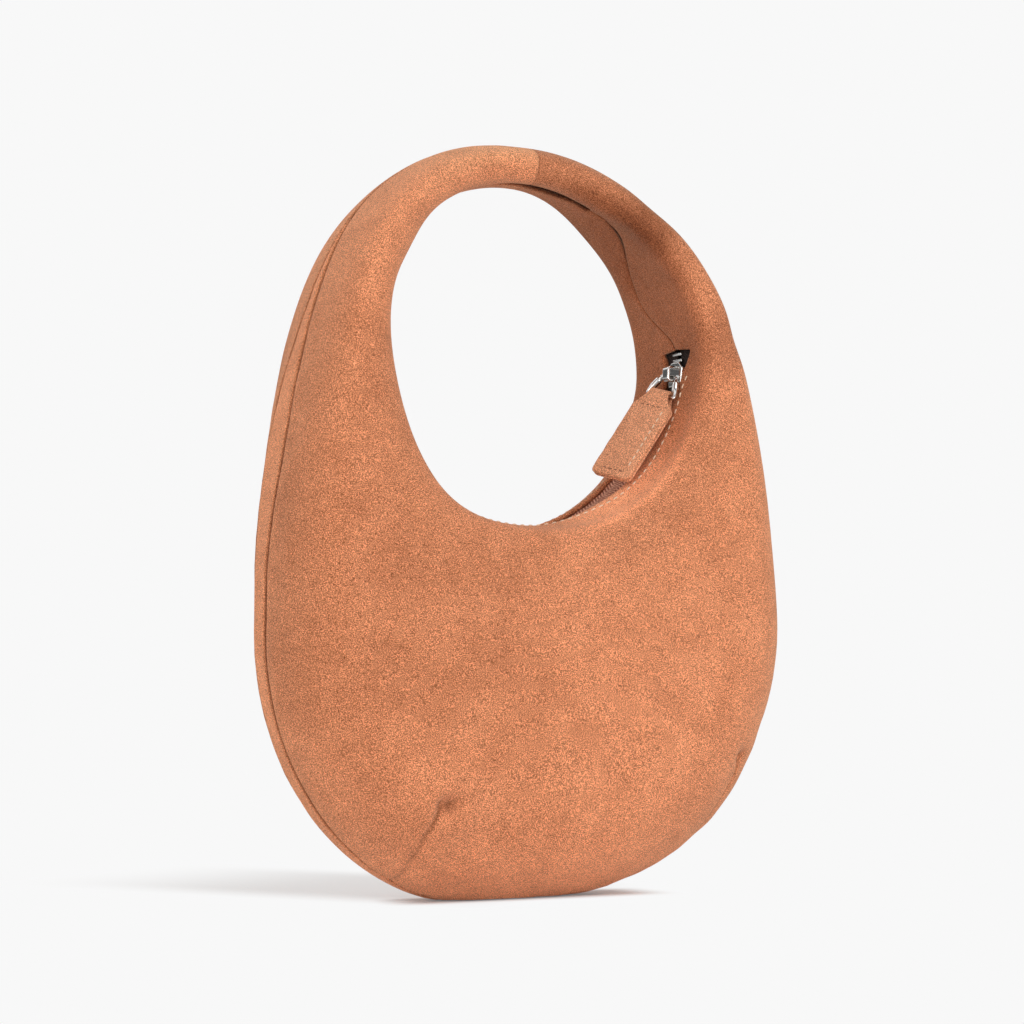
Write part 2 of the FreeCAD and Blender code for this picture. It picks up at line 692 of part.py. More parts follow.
# The pieces
front_skin, back_skin = panel_shapes()
front_padding = feature("front_interlining", padding_shape())
pivot = link_pivot()
bar = pivot + LINK_WAY * size("link_length")
pull_link = feature("pull_link", link_shape())
pull_link.Placement = pull_frame(LINK_WAY, pivot)
pieces = [
    feature("front_panel", front_skin),
    feature("back_panel", back_skin),
    feature("gusset", gusset_shape()),
    feature("base_stiffener", stiffener_shape()),
    front_padding,
    mirrored("back_interlining", front_padding),
    feature("front_lining", lining_shape(size("zip_offset"))),
    feature("back_lining", to_back(lining_shape(-size("zip_offset")))),
    feature("handle_core", core_shape()),
    zip_tape("zip_tape_front", -1),
    zip_tape("zip_tape_back", 1),
    zip_teeth("zip_teeth_front", -1, FIRST_TOOTH_ANGLE),
    zip_teeth("zip_teeth_back", 1, FIRST_TOOTH_ANGLE + turn_of(size("tooth_pitch")) / 2),
    zip_stop("zip_top_stop_upper", "Sizes.stop_thick", TOP_STOP_ANGLE),
    zip_stop("zip_top_stop_lower", "Sizes.stop_thick", TOP_STOP_ANGLE + turn_of(size("tooth_pitch"))),
    zip_stop("zip_bottom_stop", "Sizes.bottom_stop_length", STOP_ANGLE),
    slider_body(),
    slider_crown(),
    pull_link,
    pull_tab(pull_frame(TAB_WAY, bar)),
]
doc.recompute()

for item in doc.Objects:
    if "Invalid" in item.State or "Error" in item.State:
        raise RuntimeError(f"{item.Label} failed: {item.State}")
for piece in pieces:
    if piece.Shape.isNull() or not piece.Shape.isValid():
        raise RuntimeError(f"{piece.Label} has no valid shape")

os.makedirs("parts", exist_ok=True)
for piece in pieces:
    piece.Shape.exportStep(f"parts/{piece.Label}.step")
    print(f"{piece.Label}: {len(piece.Shape.Solids)} solids, {piece.Shape.Volume:.1f} cubic mm")
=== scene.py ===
import math

import bmesh
import bpy
import numpy as np
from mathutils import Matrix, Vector


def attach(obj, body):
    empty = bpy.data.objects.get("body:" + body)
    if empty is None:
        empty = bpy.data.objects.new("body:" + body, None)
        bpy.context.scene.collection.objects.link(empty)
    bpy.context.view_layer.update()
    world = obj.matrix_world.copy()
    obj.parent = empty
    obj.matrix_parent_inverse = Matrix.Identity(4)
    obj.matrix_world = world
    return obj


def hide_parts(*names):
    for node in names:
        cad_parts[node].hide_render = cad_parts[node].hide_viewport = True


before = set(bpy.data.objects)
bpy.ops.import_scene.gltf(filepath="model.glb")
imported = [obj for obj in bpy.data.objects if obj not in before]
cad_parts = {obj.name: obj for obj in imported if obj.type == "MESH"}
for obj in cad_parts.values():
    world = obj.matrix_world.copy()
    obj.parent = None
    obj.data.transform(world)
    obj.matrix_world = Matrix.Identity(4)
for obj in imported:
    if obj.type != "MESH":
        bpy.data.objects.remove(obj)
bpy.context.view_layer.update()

MM = 0.001

# Sizes of the solids, in millimetres, and the pull's place and directions
BAG_HEIGHT = 280.0
BAG_WIDTH = 203.0
WIDEST_HEIGHT = 95.0
BASE_HALF = 20.0
HOLE_RADIUS = 66.0
HOLE_HEIGHT = 199.5
HANDLE_HALF = 11.5
SIDE_HALF = 29.0
BASE_DEPTH_HALF = 37.0
GUSSET_HALF = 4.7
GUSSET_RISE = 246.0
TIP_HALF = 0.8
SUEDE = 1.4
ZIP_OFFSET = 6.0
SLOT_HALF = 10.5
SLOT_RISE = 6.4
TAPE_TOP = 67.7
TAPE_BOTTOM = 68.4
TAPE_EDGE = 1.3
TAPE_REACH = 13.5
CROSS_SEAM = 2.6
BAR = np.array((59.2814, -5.4835, 188.6008))
PULL_AXIS = np.array((-0.331861, 0.911780, 0.241922))
TAB_WAY = np.array((-0.568131, 0.011546, -0.822857))
TAB_LENGTH = 39.6
TAB_HALF = 9.4
FOLD_RADIUS = 1.65
TAB_LEATHER = 1.4

# Soft forms that only the scene has, in millimetres
FRONT_COVER = 10.0
BACK_DRAW = 11.0
BACK_COVER = 3.0
LIP_REACH = 13.0
BACK_FULLER = 4.0
BACK_TUCK = 6.0
SLIT_GAP = 1.0
INNER_SEAM_GAP = 0.07
INNER_SEAM_ROOM = 1.8
GUSSET_SEAM_GAP = 0.12
TIP_GAP = 0.1
TAB_NECK_HALF = 4.7
TAB_NECK_RUN = 1.2
TAB_SHOULDER = 6.4
TAB_CORNER = 2.6
TAB_GAP = 0.06
# The same for each side, where 1 is the front and -1 the back
LIPS = {1: 3.5, -1: 1.2}
LIP_LOSSES = {1: 0.55, -1: 0.0}
SLIT_LIFTS = {1: -3.2, -1: 0.3}

# Camera, fitted to the photograph
CAMERA_AZIMUTH = math.radians(-29.0)
CAMERA_ELEVATION = math.radians(-3.5)
CAMERA_DISTANCE = 1.0
CAMERA_TARGET = (-0.0029, 0.0, 0.14225)
CAMERA_LENS = 94.15

# Curves of the outline and of the sections
OUTLINE_POWER = 2.41
RIM_POWER = 2.5
EDGE_POWER = 2.6
FALL_POWER = 1.5
GUSSET_POWER = 5
HALVINGS = 44
# Each at the top, beside the hole and at the base
HALF_DEPTHS = (HANDLE_HALF, SIDE_HALF, BASE_DEPTH_HALF)
FLAT_SHARES = (0.45, 0.7, 0.62)
FULLEST_SHARES = (0.5, 0.5, 0.66)

SLOT_ANGLE = math.degrees(math.asin(SLOT_RISE / HOLE_RADIUS))
SEAM_ANGLE = math.degrees(math.acos(CROSS_SEAM / (BAG_HEIGHT - HOLE_HEIGHT)))
# Degrees along the slot from its closed end, over which the edges' covers and lips come and go
COVER_START = (-9, 9)
DRAW_START = (5, 30)
COVER_END = (105, 150)
BACK_START = (-8, -2)
BACK_END = (4, 16)
LIP_START = (-3, 26)
LIP_FADE = (60, 90)
# Degrees round the ring, over which the slit under the handle opens from its two ends
SLIT_ENDS = ((106, 70), (64.4, 65.4))


def smooth(low, high, value):
    """A soft step from 0 at low to 1 at high."""
    share = np.clip((value - low) / (high - low), 0, 1)
    return share * share * (3 - 2 * share)


def peak(value, reach, middle=0):
    """1 at the middle, falling away softly on both sides."""
    return np.exp(-((value - middle) / reach) ** 2)


# Outline and sections, as in the part's source but fuller
def half_width(height):
    climb = np.clip((height - WIDEST_HEIGHT) / (BAG_HEIGHT - WIDEST_HEIGHT), 0, 1)
    fall = np.clip((WIDEST_HEIGHT - height) / WIDEST_HEIGHT, 0, 1)
    above = BAG_WIDTH / 2 * (1 - climb ** OUTLINE_POWER) ** (1 / OUTLINE_POWER)
    below = BASE_HALF + (BAG_WIDTH / 2 - BASE_HALF) * np.sqrt(1 - fall ** 2)
    return np.where(height >= WIDEST_HEIGHT, above, below)


def outline_radius(turn):
    """Distance of the outline from the hole's centre, found by halving."""
    inside = np.zeros_like(turn)
    outside = np.full_like(turn, BAG_HEIGHT)
    for _ in range(HALVINGS):
        radius = (inside + outside) / 2
        height = HOLE_HEIGHT + radius * np.sin(turn)
        within = (height >= 0) & (height <= BAG_HEIGHT)
        within &= np.abs(radius * np.cos(turn)) <= half_width(height)
        inside = np.where(within, radius, inside)
        outside = np.where(within, outside, radius)
    return inside


def outline_height(turn):
    return HOLE_HEIGHT + outline_radius(turn) * np.sin(turn)


def ring_points(radius, turn, depth):
    """Points from a distance and an angle about the hole's centre, and a depth."""
    return np.stack((radius * np.cos(turn), depth, HOLE_HEIGHT + radius * np.sin(turn)), axis=-1)


def spread(turn, top, side, base):
    """A measure round the ring, from its values at the top, the sides and the base."""
    lift = np.sin(turn)
    return side + (np.where(lift > 0, top, base) - side) * lift ** 2


def gusset_half(height):
    climb = np.clip(height / GUSSET_RISE, 0, 1)
    fuller = 1 + 0.38 * peak(height, 34, 172)
    return TIP_HALF + (GUSSET_HALF - TIP_HALF) * (1 - climb ** GUSSET_POWER) * fuller


def back_half(height):
    """The gusset's half at the back, which is fuller beside the hand hole."""
    return gusset_half(height) + BACK_FULLER * peak(height, 42, 165)


def seam_depth(turn, side):
    """Depth of a panel's outer edge: beside the gusset, and in the middle past its tips."""
    height = outline_height(turn)
    past = smooth(GUSSET_RISE - 2, GUSSET_RISE + 8, height)
    half = gusset_half(height) if side > 0 else back_half(height)
    return (half + GUSSET_SEAM_GAP) * (1 - past) + TIP_GAP * past


# The seam along the inside of the ring: angle, and how far in front of the middle it lies
INNER_SEAM = (
    (5.6, 6.0), (7.7, 5.6), (11.6, 1.7), (15.5, -3.8), (19.5, -8.2), (24.4, -10.2), (30.6, -9.4),
    (36.0, -7.0), (42.8, -1.9), (49.6, 3.0), (58.8, 6.6), (65.5, 8.0), (70.5, 5.0), (75.0, 2.2),
    (82.0, -0.4), (92.0, -0.6), (105.0, 0.0), (150.0, 2.0), (172.0, 6.0))
SEAM_SHIFTS = (-3.0, -1.5, 0.0, 1.5, 3.0)


def signed(degrees):
    """The same angle between -180 and 180."""
    return ((degrees + 180) % 360) - 180


def rim_seam(degrees):
    """How far in front of the middle the inner seam lies."""
    turns, depths = np.array(INNER_SEAM).T
    return np.mean([np.interp(signed(degrees) + shift, turns, depths) for shift in SEAM_SHIFTS], axis=0)


def down(degrees):
    """Degrees along the slot from its closed end."""
    return ((-degrees + 90) % 360) - 90


def past_end(degrees):
    """Degrees along the slot from the nearer of its two ends."""
    return np.minimum(down(degrees), 180 - down(degrees))


def slot_share(degrees):
    """1 inside the zip's slot and 0 outside it."""
    return smooth(-SLOT_ANGLE - 0.55, -SLOT_ANGLE + 0.55, past_end(degrees))


def slit_share(degrees):
    """1 where the slit under the handle stands widest, and 0 past its ends."""
    return math.prod(smooth(*end, signed(degrees)) for end in SLIT_ENDS)


def back_drawn(degrees):
    """1 where the slot's back edge is drawn away from the zip."""
    return smooth(*DRAW_START, down(degrees)) * (1 - smooth(*COVER_END, down(degrees)))


def rim_depth(degrees, side):
    """Depth where a panel starts inside the ring: at the slot's edge, or at the inner seam."""
    turn = np.radians(degrees)
    along = down(degrees)
    room = spread(turn, *HALF_DEPTHS) * spread(turn, *FLAT_SHARES) - INNER_SEAM_ROOM
    gap = INNER_SEAM_GAP + SLIT_GAP * slit_share(degrees)
    seam = side * np.clip(rim_seam(degrees), -room, room) + gap
    slot = SLOT_HALF + side * ZIP_OFFSET
    if side > 0:
        slot = slot - FRONT_COVER * smooth(*COVER_START, along) * (1 - smooth(*COVER_END, along))
    else:
        slot = slot + BACK_DRAW * back_drawn(degrees)
        slot = slot - BACK_COVER * smooth(*BACK_START, along) * (1 - smooth(*BACK_END, along))
    share = slot_share(degrees)
    return seam * (1 - share) + slot * share


def rim_lip(degrees, side):
    """How far a panel's edge stands up beside the zip, and at the slit under the handle."""
    lip = LIPS[side] * (1 - LIP_LOSSES[side] * smooth(*LIP_FADE, down(degrees)))
    return lip * smooth(*LIP_START, past_end(degrees)) + SLIT_LIFTS[side] * slit_share(degrees)


# Places round the ring: amount, and angle and reach in degrees. Puffs fill the ring towards the hand
# hole, swells push its rim into the hole, and sags lower it.
PUFFS = {1: ((3.6, 146, 15), (1.9, 188, 22), (-2.4, -122, 20)),
         -1: ((3.4, 50, 20), (-0.9, 15, 8), (1.6, -15, 9))}
SWELLS = {1: ((2.3, -166, 26), (1.9, -85, 42)),
          -1: ((1.8, -66, 36),)}
SAGS = ((2.0, 60, 20), (0.9, 26, 20), (-2.2, 146, 22))


def rises(degrees, table):
    """The places of a table added up at each angle."""
    return sum(amount * peak(signed(degrees - middle), reach) for amount, middle, reach in table)


# Skins: grids of points over the ring. Side is 1 at the front and -1 at the back.
SKIN_COUNTS = (12, 22, 56)
EDGE_FINE = (3.2, 2.7, 2.25, 1.85, 1.5, 1.2, 0.95, 0.72, 0.52, 0.34, 0.18, 0.06, 0.0)
FLANGE_POWER = 1.6
LEAST_FLAT = 0.3
# Width and depth of the turned edges: at the seam across the handle, at the gusset, and at the rim
END_ROLL = (0.6, 0.25)
SEAM_ROLL = (1.5, 1.5)
RIM_ROLL_WIDTH = 1.4
RIM_ROLL = 0.35
SLOT_ROLL = 1.0
CREASE_SHADE_REACH = 0.7


def roll(distance, width, depth):
    """How far a turned edge dips at a distance from it."""
    return depth * np.clip(1 - distance / width, 0, 1) ** 2


def end_arc(degrees):
    """Distance along the handle from the cross seam."""
    nearer = np.minimum(SEAM_ANGLE - degrees, degrees - (SEAM_ANGLE - 360))
    return np.radians(nearer) * (BAG_HEIGHT - HOLE_HEIGHT)


def tucked(rise):
    """How much of its tuck the back panel has, at a share of the way from edge to crest."""
    return (1 - np.exp(-4 * rise)) * (1 - rise ** 3)


def skin_grid(degrees, side, inset, start, edge, ends_roll=True, lip=0.0, swell=0.0, puff=0.0,
              counts=SKIN_COUNTS):
    """Points from the rim over the fullest part to the outer edge, one row per angle."""
    turn = np.radians(degrees)
    half = spread(turn, *HALF_DEPTHS)
    flat = half * spread(turn, *FLAT_SHARES)
    outline = outline_radius(turn)
    dip = roll(end_arc(degrees), *END_ROLL) * ends_roll
    inner = HOLE_RADIUS + inset + dip
    outer = outline - inset - dip
    middle = HOLE_RADIUS + spread(turn, *FULLEST_SHARES) * (outline - HOLE_RADIUS)
    crest = half - inset - dip
    start = np.minimum(start, flat - LEAST_FLAT)
    rim_roll = RIM_ROLL + (SLOT_ROLL - RIM_ROLL) * slot_share(degrees)
    flange, rim, fall = (np.arange(count + 1)[:, None] / count for count in counts)
    # Each part gives its points' distance from the hole's centre, and their depth
    share = flange[:-1]
    depth = start + (flat - start) * share ** FLANGE_POWER
    stand = lip * (1 - smooth(0, 1, (depth - start) / np.minimum(flat - start, LIP_REACH)))
    rolled = inner + roll(depth - start, RIM_ROLL_WIDTH, rim_roll)
    parts = [(rolled - stand - swell - puff * smooth(0, 1, share), depth)]
    cosine = np.cos(rim * math.pi / 2)
    fuller = (swell + puff) * (1 - rim) ** 2
    bulge = (1 - cosine ** RIM_POWER) ** (1 / RIM_POWER)
    parts.append((inner + (middle - inner) * (1 - cosine) - fuller, flat + (crest - flat) * bulge))
    height = crest - edge
    tuck = BACK_TUCK * np.clip((outer - middle - 8) / 22, 0, 1) * (side < 0)
    last = np.arcsin((1 - (EDGE_FINE[0] / height) ** FALL_POWER) ** (1 / EDGE_POWER))
    share = np.sin(last * fall[1:])
    rise = (1 - share ** EDGE_POWER) ** (1 / FALL_POWER)
    parts.append((middle + (outer - middle) * share - tuck * tucked(rise), edge + height * rise))
    distance = np.array(EDGE_FINE[1:])[:, None]
    rise = distance / height
    share = (1 - rise ** FALL_POWER) ** (1 / EDGE_POWER)
    rolled = middle + (outer - middle) * share - roll(distance, *SEAM_ROLL)
    parts.append((rolled - tuck * tucked(rise), edge + distance))
    radii, depths = (np.concatenate(part).T for part in zip(*parts))
    return ring_points(radii, turn[:, None], -side * depths)


# Darts at the lower corners: tip in the front view, dimple, brow, swell, and the line that leads there
DARTS = (
    ((-44.6, 35.2), 2.9, 0.75, 0.8,
     ((-53.0, 9.5), (-52.8, 16.0), (-51.6, 22.5), (-50.0, 28.0), (-48.2, 33.0), (-47.9, 36.4))),
    ((78.2, 50.2), 2.0, 0.0, 0.4,
     ((59.0, 11.5), (66.0, 24.0), (73.0, 37.1), (76.5, 44.0), (79.8, 50.4))),
)
DART_GROOVE = 1.5
DART_GIVE = 3.4
# Dents in the front where the ring widens into the pouch: place in the front view, depth and reach
DENTS = (((46.0, 254.0), 1.5, 9.0), ((77.0, 208.0), 1.4, 9.0))


def front_distance(points, place):
    """Distance to a place in the front view."""
    return np.linalg.norm(points[..., (0, 2)] - np.array(place), axis=-1)


def dart_distance(points, dart):
    """Distance to a dart's line in the front view, the share along it, and the distance to its tip."""
    line = np.array(dart[-1])
    flat = points[..., (0, 2)]
    nearest = np.full(flat.shape[:-1], np.inf)
    place = np.zeros(flat.shape[:-1])
    lengths = np.linalg.norm(np.diff(line, axis=0), axis=1)
    before = 0.0
    for start, end, length in zip(line[:-1], line[1:], lengths):
        way = (end - start) / length
        along = np.clip((flat - start) @ way, 0, length)
        distance = np.linalg.norm(flat - (start + along[..., None] * way), axis=-1)
        closer = distance < nearest
        nearest = np.where(closer, distance, nearest)
        place = np.where(closer, (before + along) / lengths.sum(), place)
        before += length
    return nearest, place, front_distance(points, dart[0])


def dart_push(points, dart, side):
    """Push for one dart: a sewn groove between two soft swells, and a dimple at its tip."""
    distance, place, tip = dart_distance(points, dart)
    _, dimple, brow, swell, _ = dart
    body = 0.3 + 0.7 * smooth(0.3, 0.9, place)
    if side < 0:
        body = body * smooth(0.05, 0.45, place)
    beside = swell * body * peak(distance, 5.0, 6.5) - DART_GROOVE * body * peak(distance, 1.1)
    return beside - dimple * peak(tip, 3.4) + brow * peak(tip, 4.6, 8.0)


def dart_give(points):
    """How far the layers under the suede give way at the darts."""
    give = np.zeros(points.shape[:-1])
    for dart in DARTS:
        distance, _, tip = dart_distance(points, dart)
        give = np.maximum(give, DART_GIVE * peak(np.minimum(distance, tip), 12.0))
    return give


def crease_shade_grid(degrees, grid, start, side):
    """Painted shade: 1 in the dark lines of the seams, the slit and the darts, and in the darts' tips,
    and 0 away from them.
    """
    painted_shade = np.zeros(grid.shape[:2])
    painted_shade[:, -len(EDGE_FINE):] = peak(np.array(EDGE_FINE), CREASE_SHADE_REACH)
    flange = SKIN_COUNTS[0]
    rim = peak(-side * grid[:, :flange, 1], 0.55, start[:, None])
    rim_painted_shade = (0.14 + 0.6 * slit_share(degrees)) * (1 - slot_share(degrees))
    painted_shade[:, :flange] = rim_painted_shade[:, None] * rim
    painted_shade = np.maximum(painted_shade, 0.3 * peak(end_arc(degrees), 0.5)[:, None])
    for dart in DARTS:
        distance, place, tip = dart_distance(grid, dart)
        line = 0.7 * peak(distance, 0.6) * (0.6 + 0.4 * smooth(0.2, 0.9, place))
        painted_shade = np.maximum.reduce((painted_shade, line, 0.55 * peak(tip, 2.4)))
    return painted_shade


# Where the filled bag stands out: right or left, amount, from and to aside, height and reach
FILLS = ((1, 5.0, 30, 100, 92, 60), (1, 1.8, 20, 60, 28, 22), (-1, 1.0, 30, 100, 105, 80))


def settle(points):
    """The filled bag at rest: a shoulder sags, the sides fill out and the base flattens."""
    x, y, z = points[..., 0], points[..., 1], points[..., 2]
    turn = np.arctan2(z - HOLE_HEIGHT, x)
    sag = rises(np.degrees(turn), SAGS)
    x = x - sag * np.cos(turn)
    z = z - sag * np.sin(turn)
    for way, amount, low, high, middle, reach in FILLS:
        x = x + way * amount * smooth(low, high, way * x) * peak(z, reach, middle)
    x = x - 2.7 * smooth(5, 60, -x) * (1 - smooth(115, 175, z))
    low = np.maximum(z, 0)
    z = z + 3.0 * smooth(-8, 40, x) * np.exp(-low / 18.0) - 2.0 * np.exp(-low / 6.0)
    return np.stack((x, y, np.maximum(z, 0.05 + 0.02 * low)), axis=-1)


def grid_normals(grid, outward):
    normal = np.cross(np.gradient(grid, axis=0), np.gradient(grid, axis=1))
    normal /= np.maximum(np.linalg.norm(normal, axis=-1, keepdims=True), 1e-9)
    return normal * outward


def wave_noise(points, wavelength, seed, waves=7):
    """Smooth, repeatable undulation made of a few crossed waves."""
    rng = np.random.default_rng(seed)
    total = np.zeros(points.shape[:-1])
    for _ in range(waves):
        direction = rng.normal(size=3)
        direction /= np.linalg.norm(direction)
        length = wavelength * rng.uniform(0.7, 1.5)
        total += np.sin(points @ direction * (2 * math.pi / length) + rng.uniform(0, 2 * math.pi))
    return total / waves * 1.6


# Height, wavelength and seed of the waves that make a surface uneven
UNEVEN = ((0.45, 62.0, 11), (0.16, 21.0, 23))
PUCKER = ((0.3, 12.0, 5),)
STRIP_UNEVEN = ((0.14, 16.0, 31), (0.18, 45.0, 37))


def undulation(points, table):
    return sum(height * wave_noise(points, length, seed) for height, length, seed in table)


def dress(grid, side):
    """Soft unevenness, puckers beside the gusset's seam, the darts, and the dents in the front."""
    steps = np.linspace(0, 1, grid.shape[1])
    near_edge = smooth(0.55, 0.88, steps)
    uneven = undulation(grid, UNEVEN)
    pucker = undulation(grid, PUCKER) * near_edge
    calmer = 1 - 0.75 * smooth(200, 235, grid[..., 2])
    fade = smooth(0.0, 0.14, steps) * (1 - 0.95 * smooth(0.88, 0.99, steps))
    push = (uneven * (1 - 0.7 * near_edge) + pucker) * calmer * fade
    clear = 1 - 0.9 * smooth(0.94, 1.0, steps)
    for dart in DARTS:
        push = push + dart_push(grid, dart, side) * clear
    if side > 0:
        for place, depth, reach in DENTS:
            push = push - depth * peak(front_distance(grid, place), reach)
    return grid + grid_normals(grid, side) * push[..., None]


# Meshes
def link_object(name, data):
    item = bpy.data.objects.new(name, data)
    bpy.context.scene.collection.objects.link(item)
    return item


def finish_mesh(mesh, material):
    mesh.materials.clear()
    mesh.materials.append(material)
    mesh.polygons.foreach_set("use_smooth", [True] * len(mesh.polygons))


def make_object(name, points, faces, material):
    mesh = bpy.data.meshes.new(name)
    mesh.from_pydata((np.asarray(points) * MM).tolist(), [], faces)
    mesh.update()
    finish_mesh(mesh, material)
    return link_object(name, mesh)


def tube_ring(middle, across, upright, sides):
    """Points of a tube's round section."""
    swing = 2 * math.pi * np.arange(sides)[:, None] / sides
    return middle + np.cos(swing) * across + np.sin(swing) * upright


def tube_faces(rings, sides, first=0, closed=False):
    """Faces of a tube of rings, with a cap at each end or with its ends joined."""
    index = first + np.arange(rings * sides).reshape(rings, sides)
    here = np.concatenate((index, index[:1])) if closed else index
    beside = np.roll(here, -1, axis=1)
    faces = np.stack((here[:-1], beside[:-1], beside[1:], here[1:]), axis=-1).reshape(-1, 4).tolist()
    return faces if closed else faces + [index[0, ::-1].tolist(), index[-1].tolist()]


def shell_object(name, outer, inner, material, flip):
    """A closed sheet between two grids of the same size."""
    rows, columns = outer.shape[:2]
    count = rows * columns
    points = np.concatenate((outer.reshape(-1, 3), inner.reshape(-1, 3)))
    index = np.arange(count).reshape(rows, columns)
    corners = (index[:-1, :-1], index[1:, :-1], index[1:, 1:], index[:-1, 1:])
    quads = np.stack(corners, axis=-1).reshape(-1, 4)
    border = np.concatenate((index[0, :], index[1:, -1], index[-1, -2::-1], index[-2:0:-1, 0]))
    following = np.roll(border, -1)
    sides = np.stack((following + count, border + count, border, following), axis=-1)
    faces = np.concatenate((quads, quads[:, ::-1] + count, sides))
    if flip:
        faces = faces[:, ::-1]
    return make_object(name, points, faces.tolist(), material)


def mark_painted_shade(piece, outer, inner):
    """Store the painted shade mask on a sheet's outer and inner points."""
    values = np.concatenate((outer.ravel(), inner.ravel()))
    layer = piece.data.attributes.new("painted_shade", "FLOAT", "POINT")
    layer.data.foreach_set("value", values.astype(np.float32))


def panel_degrees():
    """Angles of the rows, from the cross seam all the way round, closer where more shows."""
    top = SEAM_ANGLE - 0.05
    bottom = top - 359.9
    values = list(np.linspace(top, bottom, 300))
    closer = ((-SLOT_ANGLE, SLOT_ANGLE + 4, 0.22), (-180 - SLOT_ANGLE - 4, -180, 0.22),
              (top - 3, top, 0.25), (bottom, bottom + 3, 0.25),
              (-116, -98, 0.3), (-78, -58, 0.3), (58, 66, 0.3))
    for low, high, step in closer:
        values += list(np.arange(low, high, step))
    values = np.array(sorted(set(np.round(values, 3)), reverse=True))
    keep = np.concatenate(([True], -np.diff(values) > 0.1))
    return values[keep]


# Shader nodes
def cleared(owner):
    """The node tree of a material or a world, emptied."""
    owner.use_nodes = True
    owner.node_tree.nodes.clear()
    return owner.node_tree


def add(tree, kind, inputs=(), output=None, **settings):
    """A node with its settings and inputs, or the output that is named."""
    node = tree.nodes.new(f"ShaderNode{kind}")
    for key, setting in settings.items():
        setattr(node, key, setting)
    for key, value in dict(inputs).items():
        if isinstance(value, bpy.types.NodeSocket):
            tree.links.new(value, node.inputs[key])
        else:
            node.inputs[key].default_value = value
    return node if output is None else node.outputs[output]


def new_material(name, constants=()):
    """A material with one shader, whose sockets hold what is the same all over."""
    material = bpy.data.materials.new(name)
    tree = cleared(material)
    add(tree, "OutputMaterial", {"Surface": add(tree, "BsdfPrincipled", constants, "BSDF")})
    return material, tree


def finished(material, colour, rough, normal):
    """The material, with what changes over the surface linked to its shader."""
    tree = material.node_tree
    shader = tree.nodes["Principled BSDF"]
    for socket, value in (("Base Color", colour), ("Roughness", rough), ("Normal", normal)):
        tree.links.new(value, shader.inputs[socket])
    return material


def rgba(colour, scale=1.0):
    return tuple(np.array(colour) * scale) + (1,)


def grey(level):
    return (level, level, level, 1)


def object_place(tree):
    return add(tree, "TexCoord", output="Object")


def split(tree, vector):
    """A vector's three parts, by name."""
    node = add(tree, "SeparateXYZ", {"Vector": vector})
    return {axis: node.outputs[axis] for axis in "XYZ"}


def noise(tree, place, scale, detail=3.0, rough=0.55, distortion=0.0):
    inputs = {"Vector": place, "Scale": scale, "Detail": detail, "Roughness": rough,
              "Distortion": distortion}
    return add(tree, "TexNoise", inputs, "Fac")


def ramp(tree, factor, stops):
    node = add(tree, "ValToRGB", {"Fac": factor})
    elements = node.color_ramp.elements
    elements[0].position, elements[0].color = stops[0]
    elements[1].position, elements[1].color = stops[-1]
    for position, colour in stops[1:-1]:
        elements.new(position).color = colour
    return node.outputs["Color"]


def mix(tree, factor, first, second, blend_type="MIX"):
    return add(tree, "Mix", {0: factor, 6: first, 7: second}, 2, data_type="RGBA", blend_type=blend_type)


def maths(tree, operation, *values):
    return add(tree, "Math", enumerate(values), 0, operation=operation)


def product(tree, first, *others):
    for other in others:
        first = maths(tree, "MULTIPLY", first, other)
    return first


def map_range(tree, value, low, high, to_low=0.0, to_high=1.0):
    inputs = {"Value": value, "From Min": low, "From Max": high, "To Min": to_low, "To Max": to_high}
    return add(tree, "MapRange", inputs, "Result", interpolation_type="SMOOTHSTEP")


def radius_from(tree, axes, x, z):
    """Distance to a place in the front view, given in millimetres."""
    aside = {axis: maths(tree, "SUBTRACT", axes[axis], at * MM) for axis, at in (("X", x), ("Z", z))}
    flat = add(tree, "CombineXYZ", aside, "Vector")
    return add(tree, "VectorMath", {0: flat}, "Value", operation="LENGTH")


def inside(tree, axes, places):
    """A mask from places, each an axis and where on it the mask starts and is full."""
    return product(tree, *(map_range(tree, axes[axis], start * MM, full * MM)
                           for axis, start, full in places))


# The painted shade mask that the sheets store
def painted_shade_mark(tree):
    return add(tree, "Attribute", output="Fac", attribute_name="painted_shade")


def bumped(tree, height, strength, distance, **others):
    """The normal that a height tilts."""
    inputs = {"Strength": strength, "Distance": distance, "Height": height, **others}
    return add(tree, "Bump", inputs, "Normal")


